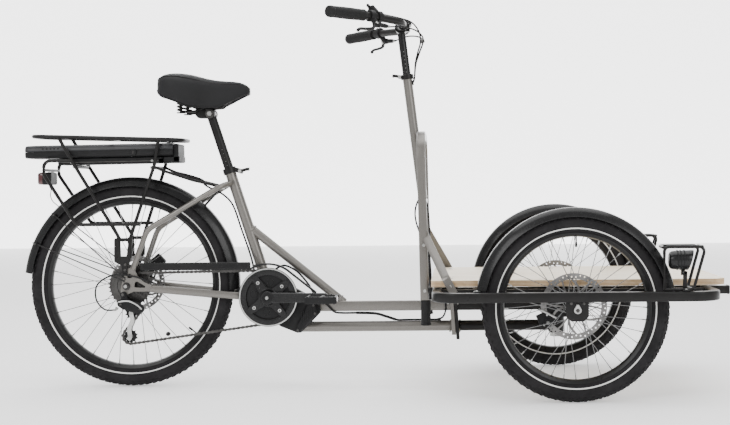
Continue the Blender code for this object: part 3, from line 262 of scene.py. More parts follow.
def holed(outline, holes, y0, y1, corner=0.0):
    """A flat plate across Y with openings through it."""
    lo, hi = min(y0, y1), max(y0, y1)
    loops = []
    for k, loop in enumerate([outline] + list(holes)):
        pts = [vec(x, z) for x, z in loop]
        r = corner if k == 0 else corner * 0.5
        loops.append([tuple(p) for p in (fillet(pts, r, 3, True) if r else pts)])
    flat = [p for loop in loops for p in loop]
    tris = tessellate_polygon([[Vector((x, z, 0)) for x, z in loop] for loop in loops])
    n = len(flat)
    points = [(x, lo, z) for x, z in flat] + [(x, hi, z) for x, z in flat]
    faces = [tuple(t) for t in tris] + [(a + n, c + n, b + n) for a, b, c in tris]
    start = 0
    for loop in loops:
        m = len(loop)
        for k in range(m):
            a, b = start + k, start + (k + 1) % m
            faces.append((a, b, b + n, a + n))
        start += m
    return points, faces


def block(x0, x1, y0, y1, z0, z1, chamfer=0.0010):
    lo, hi = min(y0, y1), max(y0, y1)
    return plate([(x0, lo), (x1, lo), (x1, hi), (x0, hi)], z0, z1, chamfer, "Z")


def ring_plate(centre, y, r_in, r_out, sides, thick, holes=None):
    """A flat ring. holes is (radius, centre radius, twist) for one hole in each side's cell."""
    faces, points = [], []
    for side in (-1, 1):
        base = len(points)
        for k in range(sides):
            a0, a1 = 360 * k / sides, 360 * (k + 1) / sides
            edge = [(r_in, a0), (r_in, (a0 + a1) / 2), (r_in, a1), ((r_in + r_out) / 2, a1), (r_out, a1),
                    (r_out, (a0 + a1) / 2), (r_out, a0), ((r_in + r_out) / 2, a0)]
            start = len(points)
            points += [tuple(polar(centre, r, a, y + side * thick / 2)) for r, a in edge]
            if not holes:
                faces.append(tuple(start + q for q in range(8)))
                continue
            hr, spread, swing = holes
            mid = polar(centre, (r_in + r_out) / 2 + spread * math.sin(math.radians(swing * k)), (a0 + a1) / 2)
            for r, a in edge:
                d = polar(centre, r, a) - mid
                d = unit(d) * hr
                points.append((mid[0] + d[0], y + side * thick / 2, mid[2] + d[2]))
            faces += [(start + q, start + (q + 1) % 8, start + 8 + (q + 1) % 8, start + 8 + q) for q in range(8)]
        if side == -1:
            half = len(points)
    per = 16 if holes else 8
    for k in range(sides):
        for q in range(8, per):
            i, j = k * per + q, k * per + 8 + (q - 7) % 8
            faces.append((i, j, j + half, i + half))
        for q in (0, 1, 4, 5):
            i, j = k * per + q, k * per + q + 1
            faces.append((i, j, j + half, i + half))
    return points, faces


def toothed(centre, y, root, tip, inner, teeth, thick, phase=0.0):
    """A sprocket."""
    outer, core = [], []
    for k in range(teeth):
        for f, r in ((0.0, root), (0.18, root), (0.36, (root + tip) / 2), (0.46, tip), (0.54, tip),
                     (0.64, (root + tip) / 2), (0.82, root)):
            a = 360 * (k + f) / teeth + phase
            outer.append(polar(centre, r, a))
            core.append(polar(centre, inner, a))
    rings = [[p + vec(0, t, 0) for p in ring] for ring, t in
             ((core, y - thick / 2), (outer, y - thick / 2), (outer, y + thick / 2), (core, y + thick / 2))]
    return loft(rings, closed=True)


def bolt(centre, direction, r=0.0045, height=0.0040):
    """A socket head screw."""
    c, d = np.array(centre, float), unit(np.array(direction, float))
    head = rod(c, c + d * height, r, 16, r * 0.16)
    return head, rod(c + d * (height - 0.0002), c + d * (height + 0.0001), r * 0.5, 6)


def nut(centre, direction, r=0.0090, height=0.0060):
    c, d = np.array(centre, float), unit(np.array(direction, float))
    return rod(c, c + d * height, r, 6, r * 0.1)


def moved(shape, shift):
    return [(p[0] + shift[0], p[1] + shift[1], p[2] + shift[2]) for p in shape[0]], shape[1]


def mirror(shape):
    return [(p[0], -p[1], p[2]) for p in shape[0]], shape[1]


def tilted(shape, pivot, angle):
    """The shape turned about Y through pivot."""
    c, s = math.cos(angle), math.sin(angle)
    return [(pivot[0] + (p[0] - pivot[0]) * c - (p[2] - pivot[2]) * s, p[1],
             pivot[2] + (p[0] - pivot[0]) * s + (p[2] - pivot[2]) * c) for p in shape[0]], shape[1]


def flip(p, s):
    return vec(p[0], s * p[1], p[2])


# ---------------------------------------------------------------- materials
def wire(tree, source, target):
    tree.links.new(source, target)


def add(tree, kind, **values):
    made = tree.nodes.new("ShaderNode" + kind)
    for key, value in values.items():
        if key in made.inputs:
            made.inputs[key].default_value = value
        else:
            setattr(made, key, value)
    return made


def ranged(tree, source, lo, hi, low=0.3, high=0.7):
    part = add(tree, "MapRange")
    for key, value in (("From Min", low), ("From Max", high), ("To Min", lo), ("To Max", hi)):
        part.inputs[key].default_value = value
    wire(tree, source, part.inputs["Value"])
    return part.outputs["Result"]


def new_look(name, metallic=0.0, coat=0.0, coat_rough=0.12, specular=0.5):
    mat = bpy.data.materials.new(name)
    mat.use_nodes = True
    tree = mat.node_tree
    shader = tree.nodes["Principled BSDF"]
    shader.inputs["Metallic"].default_value = metallic
    shader.inputs["Coat Weight"].default_value = coat
    shader.inputs["Coat Roughness"].default_value = coat_rough
    shader.inputs["Specular IOR Level"].default_value = specular
    place_ = tree.nodes.new("ShaderNodeTexCoord")
    return mat, tree, shader, place_.outputs["Object"]


def look(name, colour, metallic=0.0, rough=0.5, vary=0.12, cloud=9.0, scuff=0.08, bump=0.15, grain=900.0,
         depth=0.0002, coat=0.0, coat_rough=0.12, stretch=(1, 1, 1), tint=None, specular=0.5):
    """A procedural finish: a slow drift of colour, uneven gloss and a fine grain."""
    mat, tree, shader, coord = new_look(name, metallic, coat, coat_rough, specular)
    shaped = add(tree, "Mapping")
    shaped.inputs["Scale"].default_value = stretch
    wire(tree, coord, shaped.inputs["Vector"])
    drift = add(tree, "TexNoise", Scale=cloud, Detail=5.0, Roughness=0.6)
    wire(tree, coord, drift.inputs["Vector"])
    mix = add(tree, "Mix", data_type="RGBA")
    other = tint or [min(1.0, c * (1 + 2 * vary) + 0.004) for c in colour]
    mix.inputs[6].default_value = (*[c * (1 - vary) for c in colour], 1)
    mix.inputs[7].default_value = (*other, 1)
    wire(tree, ranged(tree, drift.outputs["Fac"], 0.0, 1.0), mix.inputs[0])
    wire(tree, mix.outputs[2], shader.inputs["Base Color"])
    wear = add(tree, "TexNoise", Scale=cloud * 5.3, Detail=6.0, Roughness=0.7)
    wire(tree, shaped.outputs["Vector"], wear.inputs["Vector"])
    wire(tree, ranged(tree, wear.outputs["Fac"], max(0.02, rough - scuff), min(1.0, rough + scuff)),
         shader.inputs["Roughness"])
    fine = add(tree, "TexNoise", Scale=grain, Detail=3.0, Roughness=0.6)
    wire(tree, shaped.outputs["Vector"], fine.inputs["Vector"])
    relief = add(tree, "Bump", Strength=bump, Distance=depth)
    wire(tree, fine.outputs["Fac"], relief.inputs["Height"])
    wire(tree, relief.outputs["Normal"], shader.inputs["Normal"])
    return mat


def flake_paint(name, colour, flake, rough):
    """Metallic paint: small bright flakes under a clear coat."""
    mat, tree, shader, coord = new_look(name, 0.55, 0.35, 0.22)
    cells = add(tree, "TexVoronoi", Scale=2600.0)
    wire(tree, coord, cells.inputs["Vector"])
    drift = add(tree, "TexNoise", Scale=5.0, Detail=4.0)
    wire(tree, coord, drift.inputs["Vector"])
    mix = add(tree, "Mix", data_type="RGBA")
    mix.inputs[6].default_value = (*colour, 1)
    mix.inputs[7].default_value = (*flake, 1)
    wire(tree, ranged(tree, cells.outputs["Color"], 0.0, 1.0, 0.15, 0.95), mix.inputs[0])
    wire(tree, mix.outputs[2], shader.inputs["Base Color"])
    wire(tree, ranged(tree, drift.outputs["Fac"], rough - 0.05, rough + 0.06), shader.inputs["Roughness"])
    peel = add(tree, "TexNoise", Scale=420.0, Detail=2.0)
    wire(tree, coord, peel.inputs["Vector"])
    relief = add(tree, "Bump", Strength=0.08, Distance=0.0003)
    wire(tree, peel.outputs["Fac"], relief.inputs["Height"])
    wire(tree, relief.outputs["Normal"], shader.inputs["Normal"])
    return mat


def plywood(name, top):
    """Clear-coated birch: long grain on the face, thin plies on the edge."""
    mat, tree, shader, coord = new_look(name, 0.0, 0.12 if top else 0.0, 0.35, 0.4)
    shaped = add(tree, "Mapping")
    shaped.inputs["Scale"].default_value = (2.2, 26.0, 26.0) if top else (9.0, 9.0, 9.0)
    wire(tree, coord, shaped.inputs["Vector"])
    grain = add(tree, "TexNoise", Scale=1.6 if top else 4.0, Detail=9.0, Roughness=0.62, Distortion=0.5)
    wire(tree, shaped.outputs["Vector"], grain.inputs["Vector"])
    ramp = add(tree, "ValToRGB")
    light, dark = ((0.86, 0.77, 0.62), (0.76, 0.66, 0.50)) if top else ((0.62, 0.48, 0.31), (0.48, 0.35, 0.21))
    ramp.color_ramp.elements[0].position, ramp.color_ramp.elements[0].color = 0.32, (*dark, 1)
    ramp.color_ramp.elements[1].position, ramp.color_ramp.elements[1].color = 0.62, (*light, 1)
    wire(tree, grain.outputs["Fac"], ramp.inputs["Fac"])
    colour, height = ramp.outputs["Color"], grain.outputs["Fac"]
    if top:
        rings = add(tree, "TexWave", wave_type="BANDS", bands_direction="Y", Scale=3.1, Distortion=9.0, Detail=3.0)
        rings.inputs["Detail Scale"].default_value = 0.7
        wide = add(tree, "Mapping")
        wide.inputs["Scale"].default_value = (0.55, 2.6, 1.0)
        wire(tree, coord, wide.inputs["Vector"])
        wire(tree, wide.outputs["Vector"], rings.inputs["Vector"])
        over = add(tree, "Mix", data_type="RGBA", blend_type="MULTIPLY")
        wire(tree, ranged(tree, rings.outputs["Fac"], 0.0, 0.5, 0.35, 0.95), over.inputs[0])
        over.inputs[7].default_value = (0.93, 0.86, 0.76, 1)
    else:
        plies = add(tree, "TexWave", wave_type="BANDS", bands_direction="Z", Scale=83.0, Distortion=0.4)
        wire(tree, coord, plies.inputs["Vector"])
        over = add(tree, "Mix", data_type="RGBA", blend_type="MULTIPLY")
        wire(tree, ranged(tree, plies.outputs["Fac"], 0.0, 1.0, 0.4, 0.6), over.inputs[0])
        over.inputs[7].default_value = (0.55, 0.44, 0.33, 1)
        height = plies.outputs["Fac"]
    wire(tree, colour, over.inputs[6])
    wire(tree, over.outputs[2], shader.inputs["Base Color"])
    wire(tree, ranged(tree, grain.outputs["Fac"], 0.62, 0.42), shader.inputs["Roughness"])
    relief = add(tree, "Bump", Strength=0.25, Distance=0.0003)
    wire(tree, height, relief.inputs["Height"])
    wire(tree, relief.outputs["Normal"], shader.inputs["Normal"])
    return mat


def leather(name, colour, cell=420.0):
    """Vinyl with a pebbled grain."""
    mat, tree, shader, coord = new_look(name, 0.0, 0.0, 0.2, 0.20)
    cells = add(tree, "TexVoronoi", Scale=cell, feature="DISTANCE_TO_EDGE")
    wire(tree, coord, cells.inputs["Vector"])
    drift = add(tree, "TexNoise", Scale=14.0, Detail=5.0)
    wire(tree, coord, drift.inputs["Vector"])
    mix = add(tree, "Mix", data_type="RGBA")
    mix.inputs[6].default_value = (*colour, 1)
    mix.inputs[7].default_value = (*[c * 1.6 for c in colour], 1)
    wire(tree, ranged(tree, drift.outputs["Fac"], 0.0, 1.0), mix.inputs[0])
    wire(tree, mix.outputs[2], shader.inputs["Base Color"])
    wire(tree, ranged(tree, drift.outputs["Fac"], 0.46, 0.64), shader.inputs["Roughness"])
    relief = add(tree, "Bump", Strength=0.35, Distance=0.0004)
    wire(tree, ranged(tree, cells.outputs["Distance"], 0.0, 1.0, 0.0, 0.12), relief.inputs["Height"])
    wire(tree, relief.outputs["Normal"], shader.inputs["Normal"])
    return mat


SILVER = flake_paint("paint_warm_grey", (0.105, 0.097, 0.087), (0.185, 0.175, 0.160), 0.33)
BLACK = look("paint_black", (0.0060, 0.0056, 0.0054), 0.0, 0.34, coat=0.06, coat_rough=0.25, bump=0.12, grain=480,
             specular=0.16)
GLOSS = look("shell_black", (0.0050, 0.0050, 0.0052), 0.0, 0.26, coat=0.10, coat_rough=0.14, bump=0.05, grain=260,
             specular=0.20)
PLASTIC = look("moulded_black", (0.0065, 0.0065, 0.0068), 0.0, 0.48, bump=0.3, grain=1500, scuff=0.1, specular=0.16)
GREY = look("moulded_grey", (0.035, 0.035, 0.037), 0.0, 0.5, bump=0.3, grain=1500, specular=0.25)
RUBBER = look("tyre_rubber", (0.0085, 0.0080, 0.0086), 0.0, 0.74, vary=0.2, bump=0.4, grain=700, scuff=0.12,
              tint=(0.015, 0.014, 0.015), cloud=16, specular=0.18)
STRIPE = look("tyre_stripe", (0.62, 0.62, 0.60), 0.0, 0.42, bump=0.25, grain=1400, vary=0.05)
STEEL = look("bright_steel", (0.34, 0.34, 0.33), 1.0, 0.28, bump=0.1, grain=1200, vary=0.1, stretch=(1, 5, 1))
SPOKE = look("spoke_steel", (0.17, 0.17, 0.17), 0.95, 0.32, bump=0.05, grain=1200)
ALLOY = look("satin_alloy", (0.46, 0.46, 0.45), 1.0, 0.32, bump=0.12, grain=1500, vary=0.06)
DARK_STEEL = look("dark_steel", (0.055, 0.053, 0.051), 0.85, 0.38, bump=0.15, grain=900, vary=0.2, cloud=40)
ROTOR = look("rotor_steel", (0.19, 0.185, 0.18), 1.0, 0.34, bump=0.12, grain=1300, vary=0.15)
RIM = look("rim_black", (0.0055, 0.0055, 0.0055), 0.0, 0.32, bump=0.08, grain=700, coat=0.06, specular=0.2)
VINYL = leather("saddle_vinyl", (0.0065, 0.0065, 0.0070))
GRIPPY = leather("grip_rubber", (0.0065, 0.0065, 0.0065), 700.0)
WOOD, PLIES = plywood("birch_face", True), plywood("birch_edge", False)
RED = look("red_lens", (0.050, 0.004, 0.005), 0.0, 0.16, vary=0.2, bump=0.3, grain=330, depth=0.0006, coat=0.6,
           coat_rough=0.05)
CLEAR = look("lamp_lens", (0.55, 0.57, 0.60), 0.35, 0.10, vary=0.2, bump=0.35, grain=220, depth=0.001, coat=0.8,
             coat_rough=0.04)
GLASS = look("display_glass", (0.035, 0.040, 0.043), 0.0, 0.12, vary=0.1, bump=0.02, grain=60, coat=0.5, coat_rough=0.05)
SHELL = look("battery_grey", (0.022, 0.022, 0.024), 0.0, 0.40, bump=0.2, grain=1300, coat=0.06, specular=0.25)
PALE = look("pale_reflector", (0.50, 0.42, 0.38), 0.0, 0.2, vary=0.2, bump=0.3, grain=380, depth=0.0006, coat=0.5)


# ---------------------------------------------------------------- pieces
def piece(name, body, shapes, replaces=(), angle=34.0):
    """One object from (shape, material) pairs, riding on a body."""
    points, faces, kinds, looks = [], [], [], []
    for shape, kind in shapes:
        if kind not in looks:
            looks.append(kind)
        start = len(points)
        points += [tuple(map(float, p)) for p in shape[0]]
        faces += [tuple(start + q for q in f) for f in shape[1]]
        kinds += [looks.index(kind)] * len(shape[1])
    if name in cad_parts:
        name += "_look"
    mesh = bpy.data.meshes.new(name)
    mesh.from_pydata(points, [], faces)
    for kind in looks:
        mesh.materials.append(kind)
    mesh.polygons.foreach_set("material_index", kinds)
    mesh.polygons.foreach_set("use_smooth", [True] * len(mesh.polygons))
    mesh.update()
    bm = bmesh.new()
    bm.from_mesh(mesh)
    bmesh.ops.recalc_face_normals(bm, faces=bm.faces)
    bm.to_mesh(mesh)
    bm.free()
    mesh.set_sharp_from_angle(angle=math.radians(angle))
    obj = bpy.data.objects.new(name, mesh)
    bpy.context.scene.collection.objects.link(obj)
    if body:
        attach(obj, body)
    if replaces:
        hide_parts(*replaces)
    return obj


def dressed(nodes, material):
    """CAD nodes whose shape is right, given a better finish."""
    for name in nodes:
        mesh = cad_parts[name].data
        mesh.materials.clear()
        mesh.materials.append(material)
        mesh.polygons.foreach_set("use_smooth", [True] * len(mesh.polygons))
        mesh.set_sharp_from_angle(angle=math.radians(36))


# ---------------------------------------------------------------- wheels
def tyre_point(radius, theta, lift=0.0):
    """A point of the tyre's section, theta from the crown towards a side."""
    a = math.radians(theta)
    half = 0.0243
    return (radius - half - 0.0022 + (half + lift) * math.cos(a), (TYRE_W + lift) * math.sin(a) * 0.985)


def build_tyre(name, body, centre, radius, rim, y):
    section = [tyre_point(radius, t) for t in range(-126, 127, 14)]
    bead = rim + 0.0076
    section = [(bead, -0.0128), (bead + 0.004, -0.0142)] + section + [(bead + 0.004, 0.0142), (bead, 0.0128)]
    c = (centre[0], y, centre[1])
    shapes = [(turned(section, 120, c, closed=True), RUBBER)]
    stripe_r = radius - 0.0390
    for s in (-1, 1):
        band = []
        for k in range(5):
            r = stripe_r - 0.0017 + 0.0034 * k / 4
            cos = max(-1.0, min(1.0, (r - (radius - 0.0265)) / 0.0243))
            band.append((r, s * (TYRE_W * 0.985 * math.sqrt(1 - cos * cos) + 0.0004)))
        shapes.append((turned(band + [(r, t - s * 0.0006) for r, t in reversed(band)], 120, c, closed=True), STRIPE))
    knobs = round(radius * 2 * math.pi / 0.0205)
    for row, (theta, wide, long, phase) in enumerate(((0, 0.0052, 0.0070, 0.0), (27, 0.0042, 0.0062, 0.5),
                                                      (-27, 0.0042, 0.0062, 0.5), (52, 0.0046, 0.0050, 0.0),
                                                      (-52, 0.0046, 0.0050, 0.0))):
        for k in range(knobs):
            turn = 360 * (k + phase) / knobs
            r, t = tyre_point(radius, theta)
            up = polar((0, 0), 1.0, turn)
            side = vec(0, 1, 0)
            out = up * math.cos(math.radians(theta)) + side * math.sin(math.radians(theta))
            across = np.cross(polar((0, 0), 1.0, turn + 90), out)
            along = polar((0, 0), 1.0, turn + 90)
            base = polar(centre, r, turn, y) + vec(0, t, 0)
            skew = 0.0014 * (1 if (k + row) % 2 else -1)
            ring = [(wide / 2, long / 2 + skew), (wide / 2, -long / 2 + skew), (-wide / 2, -long / 2 - skew),
                    (-wide / 2, long / 2 - skew)]
            rings = [[base + across * u * f + along * v * f + out * h for u, v in ring]
                     for h, f in ((-0.0012, 1.15), (0.0010, 1.08), (0.0019, 0.90))]
            shapes.append((loft(rings), RUBBER))
    return piece(name, body, shapes, [name], 50)


def build_rim(name, body, centre, radius, rim, y, flange_r, flanges, shell, ends, origin_side):
    c = (centre[0], y, centre[1])
    wall = [(rim + 0.0085, -0.0150), (rim + 0.0072, -0.0156), (rim + 0.0040, -0.0140), (rim - 0.0005, -0.0120),
            (rim - 0.0030, -0.0060), (rim - 0.0036, 0.0), (rim - 0.0030, 0.0060), (rim - 0.0005, 0.0120),
            (rim + 0.0040, 0.0140), (rim + 0.0072, 0.0156), (rim + 0.0085, 0.0150), (rim + 0.0072, 0.0132),
            (rim + 0.0040, 0.0), (rim + 0.0072, -0.0132)]
    shapes = [(turned(wall, 108, c, closed=True), RIM)]
    lo, hi = flanges
    z = (centre[0], 0, centre[1])
    hub = [(0.0072, ends[0]), (0.0105, ends[0]), (0.0115, ends[0] + 0.0012), (0.0118, lo - 0.0100),
           (shell, lo - 0.0060), (flange_r - 0.002, lo - 0.0028), (flange_r, lo - 0.0016), (flange_r, lo + 0.0016),
           (flange_r - 0.002, lo + 0.0028), (shell, lo + 0.0070), (shell - 0.0015, (lo + hi) / 2),
           (shell, hi - 0.0070), (flange_r - 0.002, hi - 0.0028), (flange_r, hi - 0.0016), (flange_r, hi + 0.0016),
           (flange_r - 0.002, hi + 0.0028), (shell, hi + 0.0060), (0.0118, hi + 0.0100),
           (0.0115, ends[1] - 0.0012), (0.0105, ends[1]), (0.0072, ends[1])]
    shapes.append((turned(hub, 40, z), DARK_STEEL))
    for k in range(36):
        near, lead = k % 2, 1 if k % 4 < 2 else -1
        end = 360 * k / 36
        start = end + lead * 62
        edge = hi if near else lo
        step = 0.0024 * (1 if (k // 2) % 2 else -1)
        a = polar(centre, flange_r - 0.0032, start, edge + step)
        b = polar(centre, rim - 0.0020, end, y + (0.0035 if near else -0.0035) * (1 if hi > lo else -1))
        shapes.append((rod(a, b, 0.00105, 6), SPOKE))
        shapes.append((rod(b + unit(a - b) * 0.0120, b, 0.0019, 6), STEEL))
        head = vec(0, math.copysign(0.0022, step), 0)
        shapes.append((rod(a - vec(0, step, 0) * 1.0 + head * 0.6, a + head * 0.35, 0.0021, 8), STEEL))
    valve = -38.0 if radius > 0.27 else (89.0 if y < 0 else 200.0)
    root = polar(centre, rim - 0.0040, valve, y)
    tip = polar(centre, rim - 0.0300, valve, y)
    shapes += [(rod(root, tip, 0.0022, 12, 0.0004), DARK_STEEL),
               (rod(root + (tip - root) * 0.55, tip + (tip - root) * 0.04, 0.0031, 12, 0.0006), PLASTIC)]
    if radius > 0.27:
        magnet = polar(centre, 0.180, -54, -0.0130)
        shapes.append((rod(magnet - vec(0, 0.0050, 0), magnet + vec(0, 0.0050, 0), 0.0062, 18, 0.0008), PLASTIC))
    return piece(name, body, shapes, [name])


def build_rotor(name, body, centre, y, outer, carrier_r):
    width = 0.0155
    rings = [(ring_plate(centre, y, outer - width, outer, 44, 0.0018, (0.0024, 0.0034, 95)), ROTOR),
             (ring_plate(centre, y, carrier_r, carrier_r + 0.0060, 36, 0.0018), ROTOR)]
    for k in range(6):
        a = 60 * k
        path = [polar(centre, carrier_r + 0.002, a, y), polar(centre, (carrier_r + outer) * 0.48, a + 15, y),
                polar(centre, outer - width + 0.001, a + 34, y)]
        rings.append((sweep(smooth(path, 5), rounded(0.0030, 0.0009, 0.0004, 1), (0, 1, 0)), ROTOR))
        path = [polar(centre, carrier_r + 0.002, a + 6, y), polar(centre, (carrier_r + outer) * 0.52, a - 2, y),
                polar(centre, outer - width + 0.001, a - 6, y)]
        rings.append((sweep(smooth(path, 5), rounded(0.0022, 0.0009, 0.0004, 1), (0, 1, 0)), ROTOR))
        side = math.copysign(1, y) if abs(y) < 0.1 else -math.copysign(1, y)
        for part in bolt(polar(centre, carrier_r + 0.0032, a + 20, y + side * 0.0009), (0, side, 0), 0.0028, 0.0018):
            rings.append((part, DARK_STEEL))
    return piece(name, body, rings, [name])


def build_wheels():
    build_tyre("rear_tyre", "rear_wheel", REAR, REAR_R, 0.239, 0.0)
    build_rim("rear_wheel", "rear_wheel", REAR, REAR_R, 0.239, 0.0, 0.0270, (-0.0210, 0.0330), 0.0170,
              (-0.0282, 0.0640), 1)
    build_rotor("rear_disc", "rear_wheel", REAR, 0.0530, 0.082, 0.0192)
    for side, s in (("right", -1), ("left", 1)):
        body = "front_wheel_" + side
        build_tyre("front_" + side + "_tyre", body, FRONT, FRONT_R, 0.194, s * TRACK)
        flanges = sorted((s * (TRACK - 0.028), s * (TRACK + 0.028)))
        ends = sorted((s * 0.2940, s * 0.4030))
        build_rim("front_" + side + "_wheel", body, FRONT, FRONT_R, 0.194, s * TRACK, 0.0250, flanges, 0.0140,
                  ends, s)
        build_rotor("front_disc_" + side, body, FRONT, s * 0.3045, 0.090, 0.0155)


# ---------------------------------------------------------------- mudguards
def arch(w, drop, thick=0.0016, count=12):
    ts = [-1 + 2 * k / count for k in range(count + 1)]
    outer = [(-drop * abs(t) ** 3, t * w) for t in ts]
    inner = [(-drop * abs(t) ** 3 - thick + (thick * 0.4 if abs(t) == 1 else 0), t * (w - thick)) for t in
             reversed(ts)]
    return outer + inner


def guard(centre, radius, start, end, y, w, drop):
    path = [polar(centre, radius, start + (end - start) * k / 72, y) for k in range(73)]
    return sweep(path, arch(w, drop), (0, 1, 0))


def rolled(centre, radius, start, end, y, w, drop):
    """The bead rolled into both edges of a mudguard."""
    edges = []
    for t in (-1, 1):
        path = [polar(centre, radius - drop - 0.0006, start + (end - start) * k / 72, y + t * (w - 0.0004))
                for k in range(73)]
        edges.append((pipe(path, 0.0013, 8), GLOSS))
    return edges


def build_mudguards():
    shapes = rolled(REAR, 0.3175, 173, -3, 0.0, 0.0300, 0.0260)
    shapes += [(guard(REAR, 0.3175, 173, -3, 0.0, 0.0300, 0.0260), GLOSS),
              (block(-0.4000, -0.3790, -0.0190, 0.0190, 0.2620, 0.2860, 0.003), PLASTIC)]
    bridge, axle = vec(-0.4450, 0, 0.5835), vec(REAR[0], 0, REAR[1])
    aim = unit(bridge - axle)
    shapes.append((rod(axle + aim * 0.3165, bridge - aim * 0.0066, 0.0035, 14), BLACK))
    for s in (-1, 1):
        for a, end in ((156, (-0.7150, 0.3140)), (137, (-0.7120, 0.3220))):
            top = polar(REAR, 0.3010, a, s * 0.0292)
            shapes.append((pipe([top + unit(vec(end[0], 0, end[1]) - vec(top[0], 0, top[2])) * -0.012, top,
                                 vec(end[0], s * 0.0764, end[1])], 0.0018, 10, 0.01, 3), BLACK))
            clip = polar(REAR, 0.3035, a, s * 0.0300)
            shapes.append((rod(clip - vec(0, s * 0.003, 0), clip + vec(0, s * 0.004, 0), 0.0055, 16, 0.001), PLASTIC))
            for part in bolt(clip + vec(0, s * 0.0035, 0), (0, s, 0), 0.0028, 0.0020):
                shapes.append((part, DARK_STEEL))
    piece("rear_mudguard", "frame", shapes, ["rear_mudguard"])
    for side, s in (("right", -1), ("left", 1)):
        shapes = [(guard(FRONT, 0.2695, 172, 8, s * TRACK, 0.0300, 0.0240), GLOSS)]
        shapes += rolled(FRONT, 0.2695, 172, 8, s * TRACK, 0.0300, 0.0240)
        for x in (FRONT[0] - 0.2640, FRONT[0] + 0.2640):
            shapes.append((block(x - 0.0090, x + 0.0090, s * (TRACK + 0.0240), s * 0.4040, 0.2999, 0.3025), BLACK))
            shapes.append((block(x - 0.0090, x + 0.0090, s * (TRACK - 0.0240), s * 0.2820, 0.2999, 0.3025), BLACK))
            for part in bolt((x, s * 0.3975, 0.3022), (0, 0, 1), 0.0040, 0.0028):
                shapes.append((part, STEEL))
        name = "front_mudguard_" + side
        piece(name, "platform", shapes, [name])


# ---------------------------------------------------------------- rear frame
def on_seat_tube(s, y=0.0):
    return vec(CRANK[0] - s * math.sin(SEAT_LEAN), y, CRANK[1] + s * math.cos(SEAT_LEAN))


def bead(centre, direction, r, thick=0.0022):
    """A weld bead round a tube."""
    c, d = np.array(centre, float), unit(np.array(direction, float))
    side = unit(np.cross(d, vec(0.1, 0.2, 1.0)))
    top = np.cross(side, d)
    path = [c + (side * math.cos(a) + top * math.sin(a)) * (r + 0.0004 * math.sin(a * 11))
            for a in (2 * math.pi * k / 44 for k in range(44))]
    return pipe(path, thick, 8, closed=True)


DROPOUT = [(-0.7013, 0.3523), (-0.6856, 0.3465), (-0.6761, 0.3271), (-0.6605, 0.3118), (-0.6373, 0.3011),
           (-0.6336, 0.2836), (-0.6877, 0.2833), (-0.7040, 0.2760), (-0.7230, 0.2660), (-0.7260, 0.2866),
           (-0.7178, 0.3254), (-0.7090, 0.3400)]
WINDOWS = ([(-0.7085, 0.3225), (-0.6905, 0.3225), (-0.6990, 0.3380)],
           [(-0.6865, 0.2955), (-0.6840, 0.3110), (-0.6770, 0.3125), (-0.6640, 0.3050), (-0.6540, 0.2990),
            (-0.6550, 0.2940)])


